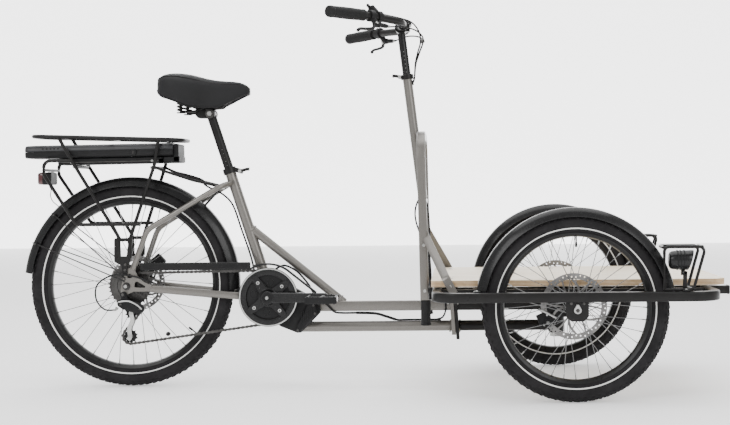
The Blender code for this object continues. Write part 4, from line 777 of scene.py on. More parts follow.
def build_frame():
    crank = vec(CRANK[0], 0, CRANK[1])
    axis = unit(on_seat_tube(1) - on_seat_tube(0))
    shapes = [turned_on(crank + axis * 0.018, on_seat_tube(0.388),
                        [(0.0142, 0.0), (0.0159, 0.0), (0.0159, 0.3692), (0.0152, 0.3700), (0.0142, 0.3700)], 40, True),
              turned([(0.0180, -0.0338), (0.0180, 0.0338), (0.0217, 0.0340), (0.0225, 0.0332), (0.0225, -0.0332),
                      (0.0217, -0.0340)], 40, (CRANK[0], 0, CRANK[1]), closed=True)]
    for s in (-1, 1):
        stay = smooth([(-0.3120, s * 0.029, 0.2620), (-0.3810, s * 0.0375, 0.2655), (-0.4000, s * 0.0430, 0.2670),
                       (-0.5000, s * 0.0540, 0.2770), (-0.6400, s * 0.0690, 0.2915)], 5)
        shapes.append(sweep(stay, rounded(0.0068, 0.0105, 0.0060, 4)))
        upper = fillet([on_seat_tube(0.352, s * 0.006), (-0.4400, s * 0.0430, 0.5865), (-0.6200, s * 0.0600, 0.4800),
                        (-0.6500, s * 0.0665, 0.4600), (-0.6905, s * 0.0705, 0.3470)], 0.05, 8)
        shapes.append(pipe(upper, 0.0080, 20))
        shapes.append(holed(DROPOUT, WINDOWS, s * 0.0675, s * 0.0735, 0.006))
        shapes.append(bead(on_seat_tube(0.350, s * 0.013), upper[1] - upper[0], 0.0080, 0.0016))
    slope = [vec(-0.292, 0, 0.278), vec(-0.150, 0, 0.236)]
    down = [on_seat_tube(0.216), vec(-0.085, 0, 0.2400)]
    rect = rounded(0.015, 0.0148, 0.004, 4)
    shapes += [
        sweep([(-0.168, 0, 0.23075), (0.2290, 0, 0.23075)], rect),
        rod((-0.2185, 0, 0.170), (0.2330, 0, 0.170), 0.0155, 32, 0.001),
        rod(slope[0], slope[1], 0.011, 24), rod(down[0], down[1], 0.0127, 28),
        plate([(-0.318, 0.262), (-0.292, 0.284), (-0.160, 0.243), (-0.160, 0.218), (-0.205, 0.184),
               (-0.205, 0.157), (-0.236, 0.157)], -0.006, 0.006, 0.001, corner=0.008),
        plate([(0.2262, 0.2500), (0.2378, 0.2500), (0.2440, 0.1455), (0.2324, 0.1455)], -0.034, 0.034, 0.0012),
        rod((-0.3760, -0.036, 0.2655), (-0.3760, 0.036, 0.2655), 0.006, 18),
        rod((-0.4450, -0.044, 0.5835), (-0.4450, 0.044, 0.5835), 0.006, 18),
        bead(on_seat_tube(0.216) + unit(down[1] - down[0]) * 0.0175, down[1] - down[0], 0.0132),
        bead((-0.085, 0, 0.2400) - unit(down[1] - down[0]) * 0.016, down[1] - down[0], 0.0130),
        bead((0.2285, 0, 0.170), (1, 0, 0), 0.0160), bead((-0.3760, -0.036, 0.2655), (0, 1, 0), 0.0064, 0.0014),
    ]
    painted = [(s, SILVER) for s in shapes]
    for x in (0.2262,):
        for y in (-0.025, 0.025):
            for z in (0.158, 0.2385):
                for part in bolt((x - (z - 0.2) * 0.06 + 0.0005, y, z), (-1, 0, 0.06), 0.0050, 0.0050):
                    painted.append((part, STEEL))
    for s in (-1, 1):
        axle = vec(REAR[0], s * 0.0735, REAR[1])
        painted += [(rod(axle, axle + vec(0, s * 0.0145, 0), 0.0050, 16, 0.0008), STEEL),
                    (rod(axle, axle + vec(0, s * 0.0020, 0), 0.0115, 24, 0.0005), DARK_STEEL),
                    (nut(axle + vec(0, s * 0.0018, 0), (0, s, 0), 0.0092, 0.0080), DARK_STEEL)]
        for x, z in ((-0.7155, 0.3140), (-0.7125, 0.3215), (-0.7170, 0.2780)):
            for part in bolt((x, s * 0.0735, z), (0, s, 0), 0.0034, 0.0024):
                painted.append((part, DARK_STEEL))
    piece("main_frame", "frame", painted, ["main_frame"])


def build_spine():
    tube = rounded(0.015, 0.0148, 0.004, 4)
    shapes = [(plate([(0.2382, 0.2500), (0.2480, 0.2500), (0.2551, 0.1325), (0.2453, 0.1325)], -0.034, 0.034,
                     0.0012), BLACK),
              (sweep([(0.244, 0, 0.23075), (0.520, 0, 0.23075)], tube), BLACK),
              (rod((0.248, 0, 0.170), (0.522, 0, 0.170), 0.0155, 32), BLACK),
              (turned([(0.0142, 0.150), (0.0225, 0.150), (0.0232, 0.1510), (0.0232, 0.2600), (0.0225, 0.2612),
                       (0.0142, 0.2612)], 40, (PIN_X, 0, 0), "Z", True), BLACK),
              (bead((0.2560, 0, 0.170), (1, 0, 0), 0.0160), BLACK)]
    for y in (-0.025, 0.025):
        for z in (0.158, 0.2385):
            shapes.append((nut((0.2490 - (z - 0.2) * 0.06, y, z), (1, 0, -0.06), 0.0062, 0.0050), STEEL))
    piece("front_spine", "frame", shapes, ["front_spine"])
    pin = [(0.0190, 0.1370), (0.0190, 0.1480), (0.0180, 0.1494), (0.0120, 0.1494), (0.0120, 0.2616),
           (0.0230, 0.2620), (0.0234, 0.2650), (0.0234, 0.2730), (0.0226, 0.2754), (0.0120, 0.2754), (0.0120, 0.2985)]
    piece("steering_pin", "frame", [(turned(pin, 36, (PIN_X, 0, 0), "Z"), STEEL)], ["steering_pin"])


def arc_points(centre, r, start, end, count=14):
    return [tuple(polar(centre, r, start + (end - start) * k / count)[[0, 2]]) for k in range(count + 1)]


def build_motor():
    c, arm = CRANK, (-0.2150, 0.2220)
    lobe = arc_points(c, 0.0575, 62, 228) + [(-0.2660, 0.1745), (-0.2190, 0.1560), (-0.2080, 0.1570),
                                             (-0.1530, 0.2130), (-0.1515, 0.2200), (-0.1560, 0.2440), (-0.1720, 0.2580)]
    shapes = [(plate(lobe, -0.0430, -0.0165, 0.0035), PLASTIC),
              (turned([(0.0100, -0.0446), (0.0480, -0.0446), (0.0540, -0.0432), (0.0575, -0.0400),
                       (0.0575, -0.0330)], 56, (c[0], 0, c[1])), PLASTIC),
              (plate([(-0.2200, 0.1600), (-0.2060, 0.1600), (-0.1600, 0.2110), (-0.1620, 0.2400),
                      (-0.1850, 0.2550), (-0.1980, 0.2200), (-0.2180, 0.1850)], -0.0560, -0.0400, 0.004,
                     corner=0.010), PLASTIC),
              (rod((c[0], -0.018, c[1]), (c[0], 0.0400, c[1]), 0.0170, 28), DARK_STEEL),
              (turned([(0.0395, 0.0166), (0.0400, 0.0180), (0.0400, 0.0390), (0.0370, 0.0440), (0.0300, 0.0462)],
                      48, (arm[0], 0, 0.2200)), PLASTIC),
              (rod((arm[0], -0.0200, 0.2010), (arm[0], 0.0200, 0.2010), 0.0110, 20), PLASTIC),
              (plate([(-0.3085, 0.2420), (-0.3085, 0.2850), (-0.2850, 0.2860), (-0.2000, 0.2560),
                      (-0.2100, 0.1900), (-0.2700, 0.2200)], 0.0346, 0.0430, 0.0015, corner=0.012), PLASTIC)]
    for x, z in ((-0.2160, 0.1660), (-0.1660, 0.2140), (-0.1700, 0.2370), (-0.1880, 0.2460)):
        for part in bolt((x, -0.0558, z), (0, -1, 0), 0.0034, 0.0024):
            shapes.append((part, DARK_STEEL))
    for k in range(5):
        a = 40 + 62 * k
        for part in bolt(polar((arm[0], 0.2200), 0.0330, a, 0.0440), (0, 1, 0), 0.0032, 0.0024):
            shapes.append((part, DARK_STEEL))
    for k in range(7):
        x = -0.2055 + 0.0055 * k
        shapes.append((block(x, x + 0.0022, -0.0575, -0.0545, 0.1830 + 0.0048 * k, 0.2180 + 0.0022 * k, 0.0004),
                       PLASTIC))
    piece("motor_housing", "frame", shapes, ["motor_housing"])


def arm_outline(x0, z0, x1, z1, wide, narrow):
    """A tapered bar between two circles."""
    a = math.degrees(math.atan2(z1 - z0, x1 - x0))
    return arc_points((x0, z0), wide, a + 90, a + 270, 10) + arc_points((x1, z1), narrow, a - 90, a + 90, 10)


def build_cranks():
    c = CRANK
    tip = c[0] + CRANK_L
    shapes = [(rod((c[0], -0.0720, c[1]), (c[0], 0.0700, c[1]), 0.0088, 20), STEEL),
              (plate(arm_outline(c[0], c[1], tip, c[1], 0.0158, 0.0125), -0.0895, -0.0762, 0.0028), GLOSS),
              (rod((c[0], -0.0905, c[1]), (c[0], -0.0662, c[1]), 0.0192, 36, 0.0015), GLOSS),
              (turned([(0.0120, -0.0904), (0.0132, -0.0914), (0.0132, -0.0930), (0.0118, -0.0938),
                       (0.0060, -0.0930), (0.0054, -0.0908)], 32, (c[0], 0, c[1])), PLASTIC),
              (rod((c[0], -0.0932, c[1]), (c[0], -0.0900, c[1]), 0.0050, 20, 0.0004), STEEL),
              (rod((tip, -0.0900, c[1]), (tip, -0.0890, c[1]), 0.0082, 24, 0.0003), PLASTIC)]
    piece("crank_right", "crank", shapes, ["crank_right"])
    tip = c[0] - CRANK_L
    shapes = [(plate(arm_outline(c[0], c[1], tip, c[1], 0.0158, 0.0125), 0.0762, 0.0895, 0.0028), GLOSS),
              (rod((c[0], 0.0560, c[1]), (c[0], 0.0900, c[1]), 0.0185, 36, 0.0015), GLOSS),
              (rod((c[0], 0.0900, c[1]), (c[0], 0.0920, c[1]), 0.0110, 28, 0.0006), ALLOY)]
    piece("crank_left", "crank", shapes, ["crank_left"])
    ring = (c[0], 0, c[1])
    shapes = [(turned([(0.0640, -0.0606), (0.0853, -0.0606), (0.0859, -0.0616), (0.0859, -0.0640),
                       (0.0850, -0.0650), (0.0700, -0.0656), (0.0645, -0.0650)], 96, ring, closed=True), GLOSS),
              (turned([(0.0808, -0.0648), (0.0808, -0.0660), (0.0814, -0.0665), (0.0840, -0.0665),
                       (0.0846, -0.0660), (0.0846, -0.0648)], 96, ring, closed=True), ALLOY),
              (toothed(c, CHAIN_Y, 0.0680, 0.0730, 0.0600, 38, 0.0022, 2.0), DARK_STEEL),
              (turned([(0.0100, -0.0600), (0.0630, -0.0600), (0.0630, -0.0570), (0.0100, -0.0570)], 64, ring,
                      closed=True), PLASTIC),
              (turned([(0.0100, -0.0660), (0.0240, -0.0680), (0.0280, -0.0660), (0.0280, -0.0590),
                       (0.0100, -0.0590)], 40, ring, closed=True), GLOSS)]
    for a in (38, 125, 217, 311):
        inner, outer = polar(c, 0.020, a), polar(c, 0.066, a)
        shapes.append((plate(arm_outline(inner[0], inner[2], outer[0], outer[2], 0.0150, 0.0105), -0.0672, -0.0600,
                             0.0014), GLOSS))
        stud = polar(c, 0.0510, a)
        shapes.append((turned([(0.0028, -0.0665), (0.0050, -0.0665), (0.0050, -0.0688), (0.0044, -0.0692),
                               (0.0028, -0.0690)], 24, (stud[0], 0, stud[2]), closed=True), ALLOY))
        shapes.append((rod((stud[0], -0.0680, stud[2]), (stud[0], -0.0660, stud[2]), 0.0028, 16), DARK_STEEL))
        wide = polar(c, 0.0440, a + 44)
        shapes.append((turned([(0.0085, -0.0602), (0.0085, -0.0622), (0.0105, -0.0622), (0.0105, -0.0602)], 24,
                              (wide[0], 0, wide[2]), closed=True), GLOSS))
    piece("chainring", "crank", shapes, ["chainring"])
    for side, s in (("right", -1), ("left", 1)):
        x, z = CRANK[0] - s * CRANK_L, CRANK[1]
        shapes = [(rod((x, s * 0.0770, z), (x, s * 0.0960, z), 0.0048, 16), STEEL),
                  (rod((x, s * 0.0930, z), (x, s * 0.1000, z), 0.0082, 6, 0.0006), STEEL),
                  (rod((x, s * 0.0985, z), (x, s * 0.1850, z), 0.0088, 24, 0.001), PLASTIC),
                  (rod((x, s * 0.1845, z), (x, s * 0.1868, z), 0.0068, 20, 0.0005), PLASTIC)]
        for y in (0.1005, 0.1780):
            shapes.append((block(x - 0.0450, x + 0.0450, s * y, s * (y + 0.0080), z - 0.0095, z + 0.0095, 0.0016),
                           PLASTIC))
        for dx in (-0.0420, 0.0360):
            shapes.append((block(x + dx, x + dx + 0.0060, s * 0.1050, s * 0.1800, z - 0.0100, z + 0.0100, 0.0014),
                           PLASTIC))
            edge = x + dx + (-0.0010 if dx < 0 else 0.0070)
            shapes.append((block(min(edge, edge - 0.001), max(edge, edge - 0.001) + 0.0004, s * 0.1180, s * 0.1680,
                                 z - 0.0065, z + 0.0065, 0.0002), PALE))
        shapes.append((block(x - 0.0350, x + 0.0350, s * 0.1395, s * 0.1465, z - 0.0080, z + 0.0080, 0.001), PLASTIC))
        for k in range(6):
            for y in (0.1030, 0.1800):
                px = x - 0.0375 + 0.0150 * k
                shapes.append((block(px - 0.0022, px + 0.0022, s * y, s * (y + 0.0035), z - 0.0113, z + 0.0113,
                                     0.0008), PLASTIC))
        piece("pedal_" + side, "pedal_" + side, shapes, ["pedal_" + side])


# ---------------------------------------------------------------- chain drive
def belt(circles, step=math.radians(2)):
    """The closed path of a belt round (centre, radius, turn), turn +1 for anticlockwise."""
    n, touch, path = len(circles), [], []
    for i in range(n):
        (c1, r1, t1), (c2, r2, t2) = circles[i], circles[(i + 1) % n]
        c1, c2 = np.array(c1), np.array(c2)
        d = c2 - c1
        heading = math.atan2(d[1], d[0]) + math.asin((t1 * r1 - t2 * r2) / np.linalg.norm(d))
        right = np.array([math.sin(heading), -math.cos(heading)])
        touch.append((c1 + right * t1 * r1, c2 + right * t2 * r2))
    for i in range(n):
        c, r, t = np.array(circles[i][0]), circles[i][1], circles[i][2]
        a0 = math.atan2(*(touch[i - 1][1] - c)[::-1])
        a1 = math.atan2(*(touch[i][0] - c)[::-1])
        turn = (a1 - a0) * t % (2 * math.pi)
        k = max(2, int(math.ceil(turn / step)))
        path += [c + r * np.array([math.cos(a0 + t * turn * j / k), math.sin(a0 + t * turn * j / k)])
                 for j in range(k + 1)]
    return path


def along_path(path, count):
    """count points spaced evenly along a closed path."""
    pts = np.array(list(path) + [path[0]])
    gaps = np.linalg.norm(np.diff(pts, axis=0), axis=1)
    run = np.concatenate([[0], np.cumsum(gaps)])
    where = np.linspace(0, run[-1], count, endpoint=False)
    return np.stack([np.interp(where, run, pts[:, 0]), np.interp(where, run, pts[:, 1])], 1), run[-1]


def build_chain():
    path = belt([(CRANK, PITCH["ring"], 1), (REAR, PITCH["cog"], 1), (GUIDE, PITCH["guide"], -1),
                 (TENSION, PITCH["tension"], 1)])
    _, length = along_path(path, 4)
    count = 2 * round(length / LINK / 2)
    pins, _ = along_path(path, count)
    shapes = []
    for k in range(count):
        a, b = pins[k], pins[(k + 1) % count]
        u = unit(b - a)
        v = np.array([-u[1], u[0]])
        outline = []
        for f, h in ((-0.30, 0.0), (-0.24, 0.0026), (-0.05, 0.0040), (0.12, 0.0040), (0.5, 0.0027), (0.88, 0.0040),
                     (1.05, 0.0040), (1.24, 0.0026), (1.30, 0.0)):
            outline.append(a + u * LINK * f + v * h)
        for f, h in ((1.24, -0.0026), (1.05, -0.0040), (0.88, -0.0040), (0.5, -0.0027), (0.12, -0.0040),
                     (-0.05, -0.0040), (-0.24, -0.0026)):
            outline.append(a + u * LINK * f + v * h)
        inner = k % 2
        for s in (-1, 1):
            y0, y1 = (0.0012, 0.0021) if inner else (0.0023, 0.0032)
            shapes.append((plate([tuple(p) for p in outline], CHAIN_Y + s * y0, CHAIN_Y + s * y1, 0.0002),
                           DARK_STEEL))
        shapes.append((rod((a[0], CHAIN_Y - 0.0034, a[1]), (a[0], CHAIN_Y + 0.0034, a[1]), 0.0018, 8), DARK_STEEL))
        shapes.append((rod((a[0], CHAIN_Y - 0.0012, a[1]), (a[0], CHAIN_Y + 0.0012, a[1]), 0.0036, 10), DARK_STEEL))
    piece("chain", "frame", shapes, ["chain"])


def build_sprockets():
    shapes = []
    for k, (y, r) in enumerate(((-0.0304, 0.0648), (-0.0353, 0.0567), (-0.0402, 0.0487), (-0.0451, 0.0426),
                                (-0.0500, 0.0366), (-0.0549, 0.0285), (-0.0598, 0.0225))):
        teeth = round(2 * math.pi * r / LINK)
        shapes.append((toothed(REAR, y, r - 0.0046, r + 0.0004, max(0.012, r - 0.0160), teeth, 0.0018, 7.0 * k),
                       DARK_STEEL))
        for j in range(5):
            a, b = polar(REAR, 0.010, 72 * j + 9 * k, y), polar(REAR, r - 0.0150, 72 * j + 9 * k + 14, y)
            if r > 0.030:
                shapes.append((sweep([a, b], rounded(0.0036, 0.0009, 0.0003, 1), (0, 1, 0)), DARK_STEEL))
    shapes.append((turned([(0.0078, -0.0290), (0.0150, -0.0290), (0.0150, -0.0600), (0.0115, -0.0625),
                           (0.0078, -0.0625)], 32, (REAR[0], 0, REAR[1]), closed=True), DARK_STEEL))
    piece("cassette", "cassette", shapes, ["cassette"])
    for name, centre, r in (("jockey_upper", GUIDE, PITCH["guide"]), ("jockey_lower", TENSION, PITCH["tension"])):
        teeth = round(2 * math.pi * r / LINK)
        body = [(toothed(centre, CHAIN_Y, r - 0.0050, r - 0.0006, 0.0074, teeth, 0.0020), PLASTIC),
                (turned([(0.0036, -0.0540), (0.0075, -0.0540), (0.0078, -0.0535), (0.0078, -0.0465),
                         (0.0075, -0.0460), (0.0036, -0.0460)], 24, (centre[0], 0, centre[1]), closed=True), STEEL)]
        piece(name, name, body, [name])


def build_derailleur():
    g, t = np.array(GUIDE), np.array(TENSION)
    line = [g + (0.0040, 0.0090), g, g * 0.68 + t * 0.32 + (0.0045, 0), g * 0.34 + t * 0.66 + (-0.0030, 0), t,
            t + (-0.0060, -0.0100)]
    shapes = []
    for y in (-0.0577, -0.0423):
        strip = smooth([(q[0], y, q[1]) for q in line], 6)
        shapes.append((sweep(strip, rounded(0.0062, 0.0010, 0.0004, 1), (0, 1, 0)), ALLOY))
    for c in (GUIDE, TENSION):
        shapes.append((rod((c[0], -0.0596, c[1]), (c[0], -0.0412, c[1]), 0.0030, 14), STEEL))
        shapes.append((rod((c[0], -0.0604, c[1]), (c[0], -0.0588, c[1]), 0.0052, 20, 0.0004), STEEL))
    shapes.append((rod((-0.6760, -0.0644, 0.2255), (-0.6760, -0.0575, 0.2255), 0.0105, 28, 0.0008), DARK_STEEL))
    piece("derailleur_cage", "frame", shapes, ["derailleur_cage"])
    lean = math.radians(-16)
    body = []
    for k in range(32):
        a = 2 * math.pi * k / 32
        u = 0.0400 * math.copysign(abs(math.cos(a)) ** 0.8, math.cos(a))
        v = 0.0160 * math.copysign(abs(math.sin(a)) ** 0.8, math.sin(a))
        body.append((-0.6940 + u * math.cos(lean) - v * math.sin(lean), 0.2424 + u * math.sin(lean) + v * math.cos(lean)))
    hook = [(-0.7230, 0.2830), (-0.7090, 0.2840), (-0.7020, 0.2560), (-0.7220, 0.2500)]
    crescent = smooth([(-0.7280, -0.0880, 0.2550), (-0.7125, -0.0884, 0.2572), (-0.6970, -0.0884, 0.2566),
                       (-0.6845, -0.0884, 0.2515), (-0.6720, -0.0884, 0.2440), (-0.6610, -0.0880, 0.2335)], 6)
    shapes = [(plate(body, -0.0870, -0.0740, 0.0026), PLASTIC),
              (plate(hook, -0.0840, -0.0745, 0.0020, corner=0.006), PLASTIC),
              (sweep(crescent, rounded(0.0021, 0.0016, 0.0010, 2), (0, 1, 0)), ALLOY),
              (rod((-0.6760, -0.0780, 0.2255), (-0.6760, -0.0640, 0.2255), 0.0100, 28, 0.001), PLASTIC),
              (rod((-0.7160, -0.0890, 0.2760), (-0.7160, -0.0740, 0.2760), 0.0075, 24, 0.001), PLASTIC),
              (rod((-0.7160, -0.0905, 0.2760), (-0.7160, -0.0880, 0.2760), 0.0046, 6, 0.0004), DARK_STEEL),
              (rod((-0.7380, -0.0860, 0.2380), (-0.7300, -0.0850, 0.2340), 0.0040, 16), STEEL)]
    for x, z in ((-0.7230, 0.2480), (-0.6680, 0.2340)):
        for part in bolt((x, -0.0868, z), (0, -1, 0), 0.0036, 0.0016):
            shapes.append((part, DARK_STEEL))
    piece("derailleur_body", "frame", shapes, ["derailleur_body"])


# ---------------------------------------------------------------- rack and battery
def build_rack():
    loop = fillet([(-0.9880, -0.0650, 0.7362), (-0.5480, -0.0650, 0.7222), (-0.5480, 0.0650, 0.7222),
                   (-0.9880, 0.0650, 0.7362)], 0.040, 10, True)
    shapes = [pipe(loop, 0.0055, 18, closed=True)]
    for x in (-0.9050, -0.7600, -0.6150):
        z = 0.7357 - (x + 0.9880) * 0.0318
        shapes.append(rod((x, -0.0650, z), (x, 0.0650, z), 0.0045, 14))
    shapes.append(rod((-0.9870, 0, 0.7364), (-0.5490, 0, 0.7225), 0.0040, 14))
    for x, z in ((-0.8576, 0.6466), (-0.6330, 0.6420)):
        shapes.append(rod((x, -0.0690, z), (x, 0.0690, z), 0.0050, 14))
    shapes.append(rod((-0.9471, -0.0712, 0.6373), (-0.9471, 0.0712, 0.6373), 0.0040, 14))
    hanger = [(-0.7420, 0.4387), (-0.6885, 0.4393), (-0.6960, 0.3740), (-0.7035, 0.3600), (-0.7050, 0.3320),
              (-0.7165, 0.3300), (-0.7220, 0.3600), (-0.7420, 0.3700)]
    window = [(-0.7320, 0.4290), (-0.7010, 0.4290), (-0.7060, 0.3860), (-0.7290, 0.3860)]
    for s in (-1, 1):
        for points, r, bend in (
                ([(-0.9050, s * 0.0653, 0.7330), (-0.8620, s * 0.0690, 0.6580), (-0.7290, s * 0.0763, 0.4418),
                  (-0.7274, s * 0.0763, 0.3770)], 0.0050, 0.03),
                ([(-0.6150, s * 0.0653, 0.7240), (-0.6260, s * 0.0690, 0.6500), (-0.6945, s * 0.0763, 0.4415),
                  (-0.6970, s * 0.0763, 0.3815)], 0.0050, 0.03),
                ([(-0.8640, s * 0.0693, 0.6641), (-0.9467, s * 0.0693, 0.6641), (-0.9467, s * 0.0693, 0.6240),
                  (-0.8520, s * 0.0752, 0.4785), (-0.6660, s * 0.0752, 0.4781)], 0.0050, 0.022),
                ([(-0.6270, s * 0.0684, 0.6447), (-0.6000, s * 0.0640, 0.6320), (-0.5200, s * 0.0450, 0.6045),
                  (-0.4530, s * 0.0280, 0.5880)], 0.0040, 0.03)):
            shapes.append(pipe(points, r, 16, bend, 7))
        shapes.append(holed(hanger, [window], s * 0.0741, s * 0.0788, 0.006))
    painted = [(shape, BLACK) for shape in shapes]
    for s in (-1, 1):
        for x, z in ((-0.7110, 0.3460), (-0.7100, 0.3620)):
            for part in bolt((x, s * 0.0788, z), (0, s, 0), 0.0038, 0.0028):
                painted.append((part, DARK_STEEL))
        for x, z, y in ((-0.8576, 0.6466, 0.0700), (-0.6330, 0.6420, 0.0700), (-0.4560, 0.5885, 0.0300)):
            for part in bolt((x, s * y, z), (0, s, 0), 0.0044, 0.0030):
                painted.append((part, DARK_STEEL))
    piece("rear_rack", "frame", painted, ["rear_rack"])


def battery_section(stretch=1.0, top=1.0):
    """One half-width profile of the case, with a step between its grey lid and black tray."""
    half = [(0.0470, -0.0190), (0.0520, -0.0160), (0.0540, -0.0120), (0.0540, -0.0010), (0.0526, -0.0002),
            (0.0526, 0.0012), (0.0540, 0.0020), (0.0536, 0.0090), (0.0500, 0.0150), (0.0440, 0.0185),
            (0.0300, 0.0192), (0.0180, 0.0186)]
    full = [(u, v) for u, v in half] + [(-u, v) for u, v in reversed(half)]
    return [(u * stretch, v * top) for u, v in full]


def build_battery():
    base = battery_section()
    split = [k for k, (u, v) in enumerate(base) if v > -0.0006]
    xs = ((-1.0080, 0.90, 0.90), (-1.0060, 0.955, 0.95), (-1.0000, 0.99, 0.99), (-0.9940, 1.0, 1.0), (-0.9000, 1, 1),
          (-0.7500, 1, 1), (-0.5900, 1, 1), (-0.5810, 0.985, 0.985), (-0.5770, 0.95, 0.95))
    lower = [p for k, p in enumerate(base) if k not in split]
    upper = [base[k] for k in split]
    lower_ring = sorted(lower, key=lambda p: math.atan2(p[1] + 0.008, p[0]))
    upper_ring = sorted(upper, key=lambda p: math.atan2(p[1] - 0.008, p[0]))
    tray = loft([[(x, u * a, 0.6930 + v * b) for u, v in lower_ring] for x, a, b in xs])
    lid = loft([[(x, u * a, 0.6930 + v * b) for u, v in upper_ring] for x, a, b in xs])
    shapes = [(tray, PLASTIC), (lid, SHELL)]
    for s in (-1, 1):
        shapes.append((block(-0.9800, -0.6100, s * 0.0536, s * 0.0545, 0.6912, 0.6934, 0.0003), PLASTIC))
        for k in range(5):
            x = -0.9560 + 0.0110 * k
            shapes.append((block(x, x + 0.0045, s * 0.0536, s * 0.0544, 0.6990, 0.7030, 0.0003), PLASTIC))
    shapes += [(block(-1.0100, -1.0060, -0.0300, 0.0300, 0.6960, 0.7060, 0.0012), PLASTIC),
               (rod((-0.6900, -0.0600, 0.6850), (-0.6900, -0.0530, 0.6850), 0.0090, 32, 0.0010), PLASTIC),
               (block(-0.6912, -0.6888, -0.0612, -0.0598, 0.6810, 0.6890, 0.0003), DARK_STEEL),
               (block(-0.9850, -0.9650, -0.0200, 0.0200, 0.7115, 0.7128, 0.0005), PLASTIC),
               (rod((-0.6300, 0.0530, 0.6860), (-0.6300, 0.0560, 0.6860), 0.0070, 24, 0.0008), PLASTIC)]
    piece("battery_pack", "battery", [(tilted(p, *BATTERY_TILT), m) for p, m in shapes], ["battery_pack"])
    dock = [(block(-0.9150, -0.6060, -0.0400, 0.0400, 0.6535, 0.6732, 0.0030), PLASTIC),
            (block(-0.6200, -0.5600, -0.0400, 0.0400, 0.6535, 0.6732, 0.0030), PLASTIC),
            (block(-0.5763, -0.5620, -0.0400, 0.0400, 0.6550, 0.7080, 0.0030), PLASTIC),
            (block(-0.9000, -0.6200, -0.0412, 0.0412, 0.6590, 0.6625, 0.0008), DARK_STEEL)]
    for k in range(6):
        x = -0.8950 + 0.0520 * k
        dock.append((block(x, x + 0.0260, -0.0408, 0.0408, 0.6655, 0.6700, 0.0008), PLASTIC))
    for x in (-0.8750, -0.6400):
        for s in (-1, 1):
            for part in bolt((x, s * 0.0400, 0.6608), (0, s, 0), 0.0040, 0.0028):
                dock.append((part, STEEL))
    piece("battery_dock", "frame", [(tilted(p, *BATTERY_TILT), m) for p, m in dock], ["battery_dock"])
    lens = loft([[(x, u * k, 0.6130 + v * k) for u, v in rounded(0.0300, 0.0185, 0.0080, 5)]
                 for x, k in ((-0.9790, 0.78), (-0.9785, 0.86), (-0.9760, 0.93), (-0.9700, 0.97), (-0.9640, 0.98))])
    case = loft([[(x, u * k, 0.6130 + v * k) for u, v in rounded(0.0300, 0.0185, 0.0070, 5)]
                 for x, k in ((-0.9640, 0.99), (-0.9620, 1.0), (-0.9420, 1.0), (-0.9390, 0.94))])
    lamp = [(lens, RED), (case, PLASTIC), (block(-0.9560, -0.9400, -0.0080, 0.0080, 0.6250, 0.6327, 0.0008), BLACK)]
    for dy in (-0.014, 0.0, 0.014):
        lamp.append((rod((-0.9793, dy, 0.6130), (-0.9782, dy, 0.6130), 0.0042, 20, 0.0003), RED))
    piece("tail_light", "frame", lamp, ["tail_light"])
    lead = smooth([(-0.9430, 0.0060, 0.6060), (-0.9550, 0.0080, 0.5925), (-0.9530, 0.0140, 0.5800),
                   (-0.9575, 0.0220, 0.5630), (-0.9530, 0.0290, 0.5460), (-0.9400, 0.0330, 0.5330),
                   (-0.9290, 0.0335, 0.5240), (-0.9310, 0.0335, 0.5080)], 6)
    piece("tail_light_wire", "frame", [(pipe(lead, 0.0014, 10), PLASTIC)], ())


